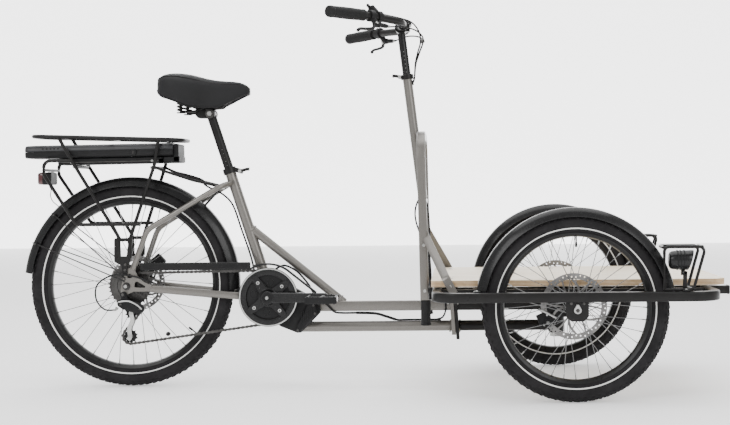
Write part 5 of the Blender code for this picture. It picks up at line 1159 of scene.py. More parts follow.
# ---------------------------------------------------------------- saddle
def build_saddle():
    head = on_seat_tube(0.560)
    shapes = [(rod(on_seat_tube(0.292), on_seat_tube(0.558), 0.0136, 32, 0.0008), BLACK),
              (rod((head[0], -0.0270, 0.8000), (head[0], 0.0270, 0.8000), 0.0138, 28, 0.0015), DARK_STEEL),
              (plate([(-0.5170, 0.7960), (-0.5170, 0.8110), (-0.4700, 0.8115), (-0.4640, 0.7960), (-0.4700, 0.7870),
                      (-0.5080, 0.7870)], -0.0200, 0.0200, 0.0016, corner=0.004), BLACK)]
    for s in (-1, 1):
        shapes.append((rod((head[0], s * 0.0265, 0.8000), (head[0], s * 0.0330, 0.8000), 0.0075, 6, 0.0006), STEEL))
        shapes.append((plate(arc_points((head[0], 0.8000), 0.0150, 0, 360, 20)[:-1], s * 0.0160, s * 0.0240, 0.001),
                       BLACK))
    for k in range(5):
        shapes.append((rod(on_seat_tube(0.405 + 0.012 * k, -0.01350), on_seat_tube(0.4056 + 0.012 * k, -0.01385),
                           0.0016, 6), STEEL))
    piece("seatpost", "seat", shapes, ["seatpost"])
    axis = unit(on_seat_tube(1) - on_seat_tube(0))
    base = on_seat_tube(0.3795)

    def along(profile, sides=40):
        rings = []
        side = vec(0, 1, 0)
        front = np.cross(side, axis)
        for k in range(sides):
            a = 2 * math.pi * k / sides
            out = side * math.cos(a) + front * math.sin(a)
            rings.append([base + out * r + axis * t for r, t in profile])
        return loft(rings, closed=True)

    clamp = [(along([(0.0145, 0.0095), (0.0163, 0.0085), (0.0163, 0.0), (0.0186, 0.0), (0.0198, 0.0012),
                     (0.0198, 0.0158), (0.0186, 0.0170), (0.0150, 0.0172)]), BLACK)]
    for y0, y1 in ((-0.0110, -0.0030), (0.0030, 0.0110)):
        clamp.append((tilted(block(-0.4041, -0.3811, y0, y1, 0.6243, 0.6373, 0.0012), (-0.3881, 0, 0.6308),
                             -SEAT_LEAN), BLACK))
    piece("seat_clamp", "frame", clamp, ["seat_clamp"])
    lever = smooth([(-0.3877, -0.0165, 0.6308), (-0.3771, -0.0182, 0.6333), (-0.3681, -0.0150, 0.6358),
                    (-0.3636, -0.0040, 0.6368), (-0.3646, 0.0070, 0.6368), (-0.3681, 0.0150, 0.6363)], 5)
    shapes = [(rod((-0.3877, -0.0113, 0.6308), (-0.3877, -0.0200, 0.6308), 0.0055, 24, 0.0008), ALLOY),
              (sweep(lever, rounded(0.0022, 0.0046, 0.0018, 3)), BLACK),
              (rod((-0.3877, 0.0113, 0.6308), (-0.3877, 0.0180, 0.6308), 0.0052, 20, 0.0006), STEEL)]
    piece("seat_clamp_lever", "seat_clamp_lever", shapes, ["seat_clamp_lever"])
    outline = [(-0.6040, 0.0500), (-0.5900, 0.0700), (-0.5500, 0.0720), (-0.5000, 0.0480), (-0.4500, 0.0220),
               (-0.3800, 0.0100)]
    rim = [(x, -y) for x, y in outline] + [(x, y) for x, y in reversed(outline)]
    shapes = [(plate(rim, 0.8560, 0.8640, 0.0015, "Z", 0.008), PLASTIC)]
    for s in (-1, 1):
        shapes.append((pipe([(-0.5520, s * 0.0470, 0.8040), (-0.5150, s * 0.0350, 0.8060),
                             (-0.4950, s * 0.0240, 0.8180), (-0.4400, s * 0.0180, 0.8180),
                             (-0.3950, s * 0.0080, 0.8600)], 0.0036, 16, 0.012, 7), BLACK))
        coil = []
        for k in range(121):
            a = 2 * math.pi * k / 24
            coil.append((-0.5520 + 0.0104 * math.cos(a), s * 0.0470 + 0.0104 * math.sin(a), 0.8050 + 0.0470 * k / 120))
        shapes.append((pipe(coil, 0.0023, 10), BLACK))
        for z in (0.8000, 0.8538):
            shapes.append((rod((-0.5520, s * 0.0470, z), (-0.5520, s * 0.0470, z + 0.0030), 0.0128, 28, 0.0006),
                           PLASTIC))
        shapes.append((rod((-0.5520, s * 0.0470, 0.8010), (-0.5520, s * 0.0470, 0.8565), 0.0040, 14), PLASTIC))
    piece("saddle_frame", "seat", shapes, ["saddle_frame"])
    build_pad()


SADDLE_LINE = ((-0.6218, 0.036, 0.8940, 0.8740), (-0.6195, 0.057, 0.9020, 0.8655), (-0.6130, 0.0740, 0.9095, 0.8550),
               (-0.6000, 0.0880, 0.9160, 0.8440), (-0.5800, 0.0965, 0.9190, 0.8370), (-0.5600, 0.0980, 0.9192, 0.8300),
               (-0.5420, 0.0965, 0.9178, 0.8215), (-0.5250, 0.0880, 0.9155, 0.8165), (-0.5080, 0.0765, 0.9115, 0.8150),
               (-0.4900, 0.0615, 0.9066, 0.8140), (-0.4700, 0.0500, 0.9018, 0.8140), (-0.4500, 0.0410, 0.8985, 0.8155),
               (-0.4300, 0.0358, 0.8965, 0.8240), (-0.4080, 0.0315, 0.8955, 0.8345), (-0.3880, 0.0282, 0.8930, 0.8445),
               (-0.3720, 0.0235, 0.8875, 0.8515), (-0.3610, 0.0165, 0.8785, 0.8555))
CROWN = ((0.93, 0.0), (0.975, 0.06), (0.995, 0.20), (1.0, 0.40), (0.985, 0.58), (0.93, 0.74), (0.83, 0.86),
         (0.68, 0.94), (0.48, 0.985), (0.26, 0.995), (0.09, 0.985))


def build_pad():
    """The saddle cover: a crowned shell with skirts, a centre channel and a hollow underside, then subdivided."""
    crown = list(CROWN) + [(-f, g) for f, g in reversed(CROWN)]
    lining = [(-0.97, 0.02), (-1.0, 0.35), (-0.95, 0.80), (-0.70, 1.0), (-0.25, 1.0)]
    lining += [(-f, g) for f, g in reversed(lining)]
    rings = []
    last = len(SADDLE_LINE) - 1
    for k, (x, w, top, low) in enumerate(SADDLE_LINE):
        ring = []
        for f, g in crown:
            z = low + (top - low) * g
            if g > 0.9:
                z -= 0.0028 * math.exp(-(f / 0.22) ** 2) * min(1.0, max(0.0, (-0.40 - x) / 0.06))
            ring.append((x, w * f, z))
        end = k in (0, 1, last - 1, last)
        inner = w * 0.88 if end else w - 0.0110
        roof = low + 0.0020 if end else min(0.8648, top - 0.0240)
        ring += [(x, inner * f, low + (roof - low) * g) for f, g in lining]
        rings.append(ring)
    nose, tail = rings[-1], rings[0]
    for x, f in ((-0.3582, 0.62), (-0.3578, 0.22)):
        rings.append([(x, p[1] * f, 0.8680 + (p[2] - 0.8680) * f) for p in nose])
    for x, f in ((-0.6224, 0.60), (-0.6226, 0.2)):
        rings.insert(0, [(x, p[1] * f, 0.8840 + (p[2] - 0.8840) * f) for p in tail])
    points, faces = loft(rings)
    pad = piece("saddle_cover", "seat", [((points, faces), VINYL)], ["saddle_pad"], 180)
    smoother = pad.modifiers.new("soft", "SUBSURF")
    smoother.levels = smoother.render_levels = 2
    seams = []
    for s in (-1, 1):
        line = []
        for x, w, top, low in SADDLE_LINE[1:-1]:
            line.append((x, s * w * 0.83, low + (top - low) * 0.855 - 0.0004))
        seams.append((pipe(smooth(line, 5), 0.0009, 8), PLASTIC))
    rim = [(x, -w * 0.955, low + 0.0022) for x, w, top, low in SADDLE_LINE[1:]]
    rim += [(x, -y, z) for x, y, z in reversed(rim)]
    seams.append((pipe(smooth(rim + [rim[0]], 4)[:-1], 0.0016, 8, closed=True), PLASTIC))
    piece("saddle_piping", "seat", seams, ())


# ---------------------------------------------------------------- cargo platform
def rail_bar(a, b, w, h, r=0.0035):
    return sweep([a, b], rounded(w, h, r, 4))


def build_chassis():
    x0, x1, y1 = LOOP
    z = RAIL_Z
    loop = fillet([(x0, -y1, z), (x1, -y1, z), (x1, y1, z), (x0, y1, z)], 0.060, 12, True)
    shapes = [(sweep(loop, rounded(RAIL, RAIL, 0.0045, 4), closed=True), BLACK)]
    for s in (-1, 1):
        shapes += [
            (rail_bar((x0, s * MID_Y, z), (1.0020, s * MID_Y, z), 0.012, 0.0115), BLACK),
            (rail_bar((x0, s * SIDE_Y, z), (x1, s * SIDE_Y, z), 0.011, 0.0115), BLACK),
            (block(1.0000, 1.0075, s * (MID_Y - 0.0135), s * (MID_Y + 0.0135), z - 0.0125, z + 0.0125, 0.0022), PLASTIC),
            (block(0.5345, 0.5945, s * 0.2860, s * 0.2920, 0.2225, z + 0.0095, 0.0010), BLACK),
            (plate([(0.5340, 0.2780), (0.5340, 0.2350), (0.5480, 0.2225), (0.5810, 0.2225), (0.5940, 0.2350),
                    (0.5940, 0.2780)], s * 0.4045, s * 0.4105, 0.0010, corner=0.004), BLACK),
            (block(0.1690, 0.1850, s * 0.1460, s * 0.1680, 0.2770, 0.2960, 0.0016), BLACK),
            (rod((FRONT[0], s * 0.2800, FRONT[1]), (FRONT[0], s * 0.4140, FRONT[1]), 0.0049, 20, 0.0006), STEEL),
            (plate(arc_points(FRONT, 0.0100, 148, 392, 20) + [(FRONT[0] + 0.0028, FRONT[1] + 0.0155),
                                                              (FRONT[0] - 0.0028, FRONT[1] + 0.0155)],
                   s * 0.4105, s * 0.4160, 0.0012), ALLOY),
            (plate([(0.4620, 0.2760), (0.5360, 0.2760), (0.5360, 0.2320), (0.5000, 0.2320)], s * 0.2865, s * 0.2915,
                   0.0010), BLACK),
            (rod((FRONT[0], s * 0.4158, FRONT[1] - 0.001), (FRONT[0], s * 0.4180, FRONT[1] - 0.001), 0.0058, 6,
                 0.0006), DARK_STEEL),
            (nut((FRONT[0], s * 0.2858, FRONT[1]), (0, -s, 0), 0.0090, 0.0060), STEEL),
        ]
        for x in (0.5480, 0.5810):
            for part in bolt((x, s * 0.4105, 0.2700), (0, s, 0), 0.0042, 0.0030):
                shapes.append((part, DARK_STEEL))
    shapes.append((block(0.5120, 0.5280, -0.2700, 0.2700, z - 0.0105, z + 0.0105, 0.0015), BLACK))
    shapes.append((block(0.5520, 0.5680, -0.2700, 0.2700, z - 0.0105, z + 0.0105, 0.0015), BLACK))
    for s in (-1, 1):
        shapes.append((block(0.5260, 0.5540, s * 0.0140, s * 0.2700, z - 0.0095, z + 0.0095, 0.0015), BLACK))
    shapes.append((turned([(0.0132, -0.0125), (0.0220, -0.0125), (0.0225, -0.0115), (0.0225, 0.0115),
                           (0.0220, 0.0125), (0.0132, 0.0125)], 40, (PIN_X, 0, z), "Z", True), BLACK))
    shapes.append((rail_bar((0.7400, -0.2000, z), (0.7400, 0.2000, z), 0.010, 0.0115), BLACK))
    for x in (0.2300, 0.9000):
        for y in (-MID_Y, MID_Y):
            shapes.append((block(x - 0.02, x + 0.02, y - 0.010, y + 0.010, z + 0.0105, 0.3053, 0.0010), BLACK))
    for x, y in ((0.1935, -MID_Y), (0.1935, MID_Y), (0.9365, -MID_Y), (0.9365, MID_Y)):
        shapes.append((bead((x + (0.013 if x < 0.5 else -0.013), y, z), (1, 0, 0), 0.0122, 0.0014), BLACK))
    piece("platform_frame", "platform", shapes, ["platform_frame"])
    edge = 0.2845
    outline = fillet([(0.1775, -edge), (0.9560, -edge), (0.9835, -edge + 0.0275), (0.9835, edge - 0.0275),
                      (0.9560, edge), (0.1775, edge)], 0.012, 5, True)
    deck = piece("deck", "platform", [(plate([(p[0], p[1]) for p in outline], *DECK_Z, 0.0009, "Z"), PLIES)],
                 ["deck"], 20)
    deck.data.materials.append(WOOD)
    for face in deck.data.polygons:
        if abs(face.normal.z) > 0.3:
            face.material_index = 1
    studs = []
    for x in (0.2300, 0.5400, 0.9000):
        for y in (-MID_Y, MID_Y):
            studs.append((turned([(0.0070, 0.0), (0.0066, 0.0010), (0.0040, 0.0020)], 28, (x, y, DECK_Z[1] - 0.0002),
                                 "Z"), STEEL))
            studs.append((rod((x, y, DECK_Z[1] + 0.0016), (x, y, DECK_Z[1] + 0.0020), 0.0022, 6), DARK_STEEL))
    piece("deck_bolts", "platform", studs, ())


def hoop_x(z):
    return 0.1565 - (z - 0.260) * 0.0170


def column_at(z, back=0.0):
    return vec(0.1062 + (0.9020 - z) * COLUMN_LEAN - back, 0, z)


def build_hoop():
    leg, top = 0.157, 0.7280
    path = fillet([(hoop_x(0.260), -leg, 0.260), (hoop_x(top), -leg, top), (hoop_x(top), leg, top),
                   (hoop_x(0.260), leg, 0.260)], 0.070, 14)
    shapes = [(sweep(path, rounded(0.0120, 0.0120, 0.0035, 4), (1, 0, 0)), SILVER),
              (rail_bar((0.1518, -leg + 0.011, 0.535), (0.1518, leg - 0.011, 0.535), 0.0092, 0.0100), SILVER)]
    for s in (-1, 1):
        path = fillet([(0.1500, s * 0.1500, 0.4610), (0.1590, s * 0.1600, 0.4430), (0.2180, s * 0.2895, 0.3300),
                       (0.2395, s * 0.2895, 0.2880)], 0.020, 4)
        shapes += [(sweep(path, rounded(0.0115, 0.0024, 0.0010), (0, 1, 0)), SILVER),
                   (turned([(0.0115, 0.1885), (0.0130, 0.1900), (0.0140, 0.1925), (0.0140, 0.2580), (0.0132, 0.2590),
                            (0.0090, 0.2592), (0.0090, 0.2650)], 32, (0.1595, s * leg, 0), "Z"), PLASTIC),
                   (turned([(0.0150, 0.1900), (0.0150, 0.1940), (0.0142, 0.1950), (0.0142, 0.1890)], 32,
                           (0.1595, s * leg, 0), "Z", True), PLASTIC)]
        for z in (0.2860, 0.4150):
            for part in bolt((hoop_x(z) + 0.0015, s * 0.1685, z), (0, s, 0), 0.0046, 0.0034):
                shapes.append((part, STEEL))
        for part in bolt((0.2300, s * 0.2905, 0.3080), (0.88, 0, 0.47), 0.0042, 0.0030):
            shapes.append((part, STEEL))
        shapes.append((bead((0.1518, s * (leg - 0.0125), 0.535), (0, 1, 0), 0.0104, 0.0014), SILVER))
    for part in bolt((hoop_x(top) - 0.0, -0.0165, top + 0.0120), (0, 0, 1), 0.0050, 0.0030):
        shapes.append((part, STEEL))
    piece("hoop", "platform", shapes, ["hoop"])


def build_column():
    foot, top = column_at(0.5475), column_at(0.9035)
    axis = unit(top - foot)
    shapes = [(rod(foot, top, 0.0138, 40, 0.0004), SILVER),
              (bead(column_at(0.5490), axis, 0.0140, 0.0016), SILVER),
              (bead(column_at(0.7160), axis, 0.0139, 0.0012), SILVER),
              (bead(column_at(0.7400), axis, 0.0139, 0.0012), SILVER)]
    port = column_at(0.8870) + vec(0.0136, 0, 0)
    shapes += [(rod(port - vec(0.0005, 0, 0), port + vec(0.0030, 0, 0.0010), 0.0072, 24, 0.0010), PLASTIC)]
    piece("steering_column", "platform", shapes, ["steering_column"])

    def around(profile, base, sides=44):
        front = unit(np.cross(vec(0, 1, 0), axis))
        rings = []
        for k in range(sides):
            a = 2 * math.pi * k / sides
            out = vec(0, 1, 0) * math.cos(a) + front * math.sin(a)
            rings.append([base + out * r + axis * t for r, t in profile])
        return loft(rings, closed=True)

    clamp = [(around([(0.0126, 0.0070), (0.0142, 0.0060), (0.0142, 0.0), (0.0176, 0.0), (0.0186, 0.0010),
                      (0.0186, 0.0130), (0.0176, 0.0141), (0.0140, 0.0143)], column_at(0.8975)), BLACK)]
    for y0, y1 in ((-0.0095, -0.0020), (0.0020, 0.0095)):
        clamp.append((block(0.0790, 0.0940, y0, y1, 0.9000, 0.9090, 0.0012), BLACK))
    clamp.append((rod((0.0840, 0.0090, 0.9045), (0.0840, 0.0150, 0.9045), 0.0050, 20, 0.0006), STEEL))
    piece("column_clamp", "platform", clamp, ["column_clamp"])
    lever = smooth([(0.0840, -0.0150, 0.9045), (0.0760, -0.0172, 0.9055), (0.0680, -0.0150, 0.9070),
                    (0.0642, -0.0060, 0.9076), (0.0640, 0.0060, 0.9080), (0.0655, 0.0160, 0.9080)], 5)
    piece("column_clamp_lever", "column_clamp_lever",
          [(rod((0.0840, -0.0098, 0.9045), (0.0840, -0.0185, 0.9045), 0.0050, 24, 0.0008), ALLOY),
           (sweep(lever, rounded(0.0021, 0.0044, 0.0018, 3)), BLACK)], ["column_clamp_lever"])
    bar = vec(0.0905, 0, 1.0500)
    shapes = [(rod(column_at(0.8000), column_at(1.0330), 0.0119, 36), GLOSS),
              (turned([(0.0132, -0.0200), (0.0176, -0.0200), (0.0190, -0.0186), (0.0190, 0.0186), (0.0176, 0.0200),
                       (0.0132, 0.0200)], 44, (bar[0], 0, bar[2]), "Y", True), GLOSS),
              (block(0.0980, 0.1160, -0.0120, 0.0120, 1.0380, 1.0470, 0.0020), GLOSS),
              (block(0.0980, 0.1160, -0.0120, 0.0120, 1.0492, 1.0615, 0.0020), GLOSS)]
    for y in (-0.0065, 0.0065):
        for part in bolt((0.1085, y, 1.0612), (0, 0, 1), 0.0036, 0.0024):
            shapes.append((part, STEEL))
    for k in range(6):
        z = 0.918 + 0.012 * k
        mark = column_at(z) + vec(0.0, -0.0118, 0)
        shapes.append((rod(mark, mark + vec(0, -0.0004, 0), 0.0012, 6), STEEL))
    piece("stem", "bars", shapes, ["stem"])


# ---------------------------------------------------------------- handlebar
GRIP_IN, GRIP_OUT = vec(0.0060, 0.2050, 1.0585), vec(-0.0900, 0.3140, 1.0560)
ALONG = unit(GRIP_OUT - GRIP_IN)
OUT = unit(vec(0.427, 0.359, -0.831) - ALONG * float(vec(0.427, 0.359, -0.831) @ ALONG))
HINGE_AXIS = unit(np.cross(ALONG, OUT))
SEAT = GRIP_IN - ALONG * 0.0120
HINGE = SEAT + OUT * 0.0300


def turned_on(a, b, profile, sides=32, closed=False):
    """A profile of (radius, distance from a towards b) pairs turned about the line from a to b."""
    a, b = np.array(a, float), np.array(b, float)
    t = unit(b - a)
    side = unit(np.cross(t, vec(0.1, 0.2, 1.0)))
    top = np.cross(side, t)
    rings = []
    for r, d in profile:
        rings.append([a + t * d + (side * math.cos(2 * math.pi * k / sides) + top * math.sin(2 * math.pi * k / sides)) * r
                      for k in range(sides)])
    return loft(rings, closed)


def build_bars():
    half = [(0.0905, 0.0, 1.0500), (0.0905, 0.0260, 1.0500), (0.0985, 0.0650, 1.0510), (0.0930, 0.1080, 1.0540)]
    path = [flip(GRIP_OUT, -1), flip(GRIP_IN, -1)] + [flip(p, -1) for p in reversed(half)] + half[1:]
    path += [GRIP_IN, GRIP_OUT]
    path = fillet(path, 0.060, 9)
    scale = []
    for p in path:
        f = min(1.0, max(0.0, (abs(p[1]) - 0.030) / 0.030))
        scale.append(1.0 - 0.12 * f * f * (3 - 2 * f))
    shapes = [(sweep(path, circle(0.0126, 28), scale=scale), BLACK)]
    for side, s in (("right", -1), ("left", 1)):
        a, b = flip(GRIP_IN + ALONG * 0.0160, s), flip(GRIP_OUT + ALONG * 0.0050, s)
        length = float(np.linalg.norm(b - a))
        outline = [(0.0120, 0.0), (0.0158, 0.0), (0.0163, 0.0010), (0.0163, 0.0060), (0.0152, 0.0072)]
        count = 22
        for k in range(count):
            d = 0.0090 + (length - 0.0260) * k / count
            bulge = 0.0010 * math.sin(math.pi * k / count)
            step = (length - 0.0260) / count
            outline += [(0.0146 + bulge, d), (0.0157 + bulge, d + step * 0.30), (0.0157 + bulge, d + step * 0.62),
                        (0.0146 + bulge, d + step * 0.92)]
        outline += [(0.0150, length - 0.0160), (0.0162, length - 0.0140), (0.0165, length - 0.0100),
                    (0.0160, length - 0.0030), (0.0148, length - 0.0006), (0.0110, length)]
        piece("grip_" + side, "bars", [(turned_on(a, b, outline, 36), GRIPPY)], ["grip_" + side], 40)
        seat, hinge = flip(SEAT, s), flip(HINGE, s)
        along, out = flip(ALONG, s), flip(OUT, s)
        axis = flip(HINGE_AXIS, s)
        shapes += [
            (turned_on(seat - along * 0.0090, seat + along * 0.0090,
                       [(0.0150, 0.0), (0.0165, 0.0012), (0.0165, 0.0168), (0.0150, 0.0180)]), PLASTIC),
            (turned_on(seat + out * 0.0100, hinge + out * 0.0060 - along * 0.0080,
                       [(0.0085, 0.0), (0.0085, 0.0200), (0.0078, 0.0262)], 24), PLASTIC),
            (turned_on(hinge - along * 0.0160, hinge - along * 0.0460 + out * 0.0030,
                       [(0.0058, -0.0040), (0.0066, 0.0), (0.0066, 0.0210), (0.0058, 0.0260), (0.0052, 0.0290)], 24),
             PLASTIC),
            (turned_on(hinge - along * 0.0460 + out * 0.0028, hinge - along * 0.0560 + out * 0.0034,
                       [(0.0040, 0.0), (0.0040, 0.0060), (0.0030, 0.0100)], 18), STEEL),
            (turned_on(hinge - along * 0.0180, hinge - along * 0.0060, [(0.0078, 0.0), (0.0085, 0.0012),
                                                                         (0.0085, 0.0100), (0.0078, 0.0112)], 24),
             PLASTIC),
            (rod(hinge - axis * 0.0062, hinge - axis * 0.0085, 0.0046, 6, 0.0004), STEEL),
            (rod(hinge + axis * 0.0062, hinge + axis * 0.0085, 0.0046, 6, 0.0004), STEEL),
            (rod(seat - out * 0.0160, seat - out * 0.0185, 0.0034, 6, 0.0004), STEEL)]
        end = SEAT + ALONG * 0.0700 + OUT * 0.0520
        curve = smooth([flip(p, s) for p in (HINGE + ALONG * 0.002, HINGE + ALONG * 0.0110 + OUT * 0.0095,
                                             HINGE + ALONG * 0.0220 + OUT * 0.0172,
                                             HINGE + ALONG * 0.0480 + OUT * 0.0205, end,
                                             end + ALONG * 0.0120 + OUT * 0.0055)], 7)
        thick = [0.95 if k < 12 else 1.0 - 0.22 * math.sin(math.pi * (k - 12) / max(1, len(curve) - 13))
                 for k in range(len(curve))]
        ball = curve[-1]
        piece("brake_lever_" + side, "brake_lever_" + side,
              [(turned_on(hinge - axis * 0.0040, hinge + axis * 0.0040,
                          [(0.0080, 0.0), (0.0090, 0.0010), (0.0090, 0.0070), (0.0080, 0.0080)], 30), PLASTIC),
               (sweep(curve, rounded(0.0044, 0.0048, 0.0030, 4), tuple(axis), scale=thick), PLASTIC),
               (turned_on(ball - along * 0.0052, ball + along * 0.0052,
                          [(0.0052 * math.sin(math.pi * (k + 0.5) / 10), 0.0052 * (1 - math.cos(math.pi * (k + 0.5) / 10)))
                           for k in range(10)], 20), PLASTIC)],
              ["brake_lever_" + side])
    pod = GRIP_IN - ALONG * 0.0420
    lean = vec(-0.016, -0.006, 0.020)
    shapes += [
        (turned_on(flip(pod - ALONG * 0.0080, -1), flip(pod + ALONG * 0.0080, -1),
                   [(0.0148, 0.0), (0.0160, 0.0010), (0.0160, 0.0150), (0.0148, 0.0160)]), PLASTIC),
        (turned_on(flip(pod, -1), flip(pod + lean, -1), [(0.0104, 0.0), (0.0110, 0.0100), (0.0110, 0.0250),
                                                        (0.0100, 0.0263)], 28), PLASTIC),
        (turned_on((0.0972, -0.0520, 1.0510), (0.0982, -0.0600, 1.0512),
                   [(0.0145, 0.0), (0.0155, 0.0008), (0.0155, 0.0072), (0.0145, 0.0080)]), PLASTIC)]
    piece("handlebar", "bars", shapes, ["handlebar"])
    hub = pod + vec(-0.0165, -0.0062, 0.0206)
    top = pod + vec(-0.0225, -0.0085, 0.0282)
    paddle = smooth([flip(p, -1) for p in (top - vec(0.003, 0.001, 0.004), top + vec(-0.004, 0.008, 0.0005),
                                          top + vec(-0.008, 0.018, 0.004))], 5)
    piece("shifter_lever", "shifter_lever",
          [(turned_on(flip(hub, -1), flip(top, -1), [(0.0100, 0.0), (0.0106, 0.0010), (0.0106, 0.0085),
                                                    (0.0092, 0.0100)], 32), PLASTIC),
           (sweep(paddle, rounded(0.0034, 0.0042, 0.0020, 3)), PLASTIC),
           (turned_on(flip(top, -1), flip(top + unit(lean) * 0.0008, -1), [(0.0060, 0.0), (0.0052, 0.0008)], 24), STEEL)],
          ["shifter_lever"])
    screen = [(block(0.0720, 0.1180, 0.0300, 0.0700, 1.0660, 1.0790, 0.0035), PLASTIC),
              (block(0.0760, 0.1140, 0.0335, 0.0665, 1.0786, 1.0800, 0.0005), GLASS)]
    for k in range(3):
        screen.append((block(0.0790 + 0.012 * k, 0.0860 + 0.012 * k, 0.0296, 0.0304, 1.0700, 1.0745, 0.0002), GREY))
    shapes = [(tilted(p, (0.095, 0, 1.07), math.radians(-18)), m) for p, m in screen]
    shapes.append((turned_on((0.0948, 0.0400, 1.0508), (0.0970, 0.0560, 1.0511),
                             [(0.0132, 0.0), (0.0157, 0.0), (0.0165, 0.0010), (0.0165, 0.0150), (0.0157, 0.0161),
                              (0.0132, 0.0161)]), PLASTIC))
    piece("display", "bars", shapes, ["display"])


# ---------------------------------------------------------------- brakes, lamps and guard
def build_brakes():
    for side, s in (("right", -1), ("left", 1)):
        cx, cz = 0.4870, 0.2170
        slot_lo, slot_hi = s * 0.3027, s * 0.3063
        shapes = []
        for y0, y1 in ((s * 0.2960, slot_lo), (slot_hi, s * 0.3130)):
            outline = [(cx - 0.0200, cz - 0.0160), (cx + 0.0200, cz - 0.0160), (cx + 0.0200, cz + 0.0120),
                       (cx + 0.0120, cz + 0.0200), (cx - 0.0200, cz + 0.0200)]
            shapes.append((tilted(plate(outline, y0, y1, 0.0012, corner=0.005), (cx, 0, cz), 0.4), PLASTIC))
        outline = [(cx - 0.0200, cz - 0.0160), (cx - 0.0120, cz - 0.0160), (cx - 0.0120, cz + 0.0200),
                   (cx - 0.0200, cz + 0.0200)]
        shapes.append((tilted(plate(outline, s * 0.2975, s * 0.3115, 0.0012), (cx, 0, cz), 0.4), PLASTIC))
        shapes.append((rod((cx + 0.006, s * 0.3100, cz - 0.008), (cx + 0.006, s * 0.3165, cz - 0.008), 0.0108, 32,
                           0.0010), PLASTIC))
        for dx in (-0.0022, 0.0022):
            shapes.append((block(cx + 0.006 + dx - 0.0008, cx + 0.006 + dx + 0.0008, *sorted((s * 0.3160, s * 0.3172)),
                                 cz - 0.0125, cz - 0.0035, 0.0003), STEEL))
        shapes.append((sweep(smooth([(cx - 0.0190, s * 0.3150, cz + 0.0290), (cx - 0.0060, s * 0.3155, cz + 0.0240),
                                     (cx + 0.0150, s * 0.3155, cz + 0.0130), (cx + 0.0300, s * 0.3150, cz + 0.0050)],
                                    5), rounded(0.0028, 0.0012, 0.0006, 2), (0, 1, 0)), STEEL))
        shapes.append((holed([(cx - 0.010, cz + 0.004), (cx + 0.015, cz - 0.006), (0.5520, 0.2300), (0.5520, 0.2460)],
                             [], s * 0.2925, s * 0.2980, 0.003), BLACK))
        for x, z in ((0.5420, 0.2380), (cx + 0.010, cz + 0.004)):
            for part in bolt((x, s * 0.2925, z), (0, -s, 0), 0.0044, 0.0034):
                shapes.append((part, STEEL))
        for a in (0.4, 0.4 + math.pi):
            px = cx + 0.0140 * math.cos(a + 0.9)
            pz = cz + 0.0140 * math.sin(a + 0.9)
            for part in bolt((px, s * 0.3128, pz), (0, s, 0), 0.0032, 0.0022):
                shapes.append((part, STEEL))
        piece("front_caliper_" + side, "platform", shapes, ["front_caliper_" + side])
    cx, cz = -0.6480, 0.3620
    shapes = []
    outline = [(cx - 0.0200, cz - 0.0170), (cx + 0.0200, cz - 0.0170), (cx + 0.0200, cz + 0.0110),
               (cx + 0.0130, cz + 0.0170), (cx - 0.0200, cz + 0.0170)]
    for y0, y1 in ((0.0440, 0.0512), (0.0548, 0.0620)):
        shapes.append((tilted(plate(outline, y0, y1, 0.0012, corner=0.005), (cx, 0, cz), 0.75), PLASTIC))
    shapes.append((tilted(block(cx - 0.0200, cx + 0.0200, 0.0450, 0.0610, cz + 0.0100, cz + 0.0168, 0.0012),
                          (cx, 0, cz), 0.75), PLASTIC))
    shapes += [(rod((cx + 0.002, 0.0400, cz + 0.002), (cx + 0.002, 0.0450, cz + 0.002), 0.0110, 30, 0.0010), PLASTIC),
               (holed([(cx - 0.0140, cz - 0.0080), (cx + 0.0080, cz + 0.0140), (-0.6690, 0.3140), (-0.6840, 0.3260)],
                      [], 0.0600, 0.0670, 0.003), BLACK)]
    for x, z in ((-0.6720, 0.3270), (cx - 0.004, cz + 0.002)):
        for part in bolt((x, 0.0670, z), (0, 1, 0), 0.0042, 0.0030):
            shapes.append((part, STEEL))
    piece("rear_caliper", "frame", shapes, ["rear_caliper"])


def raked(points):
    """Leans the front of a lamp so that its top stands forward of its bottom."""
    return [vec(p[0] + max(0.0, (p[0] - 0.8400) / 0.0260) * (p[2] - 0.3800) * 0.28, p[1], p[2]) for p in points]


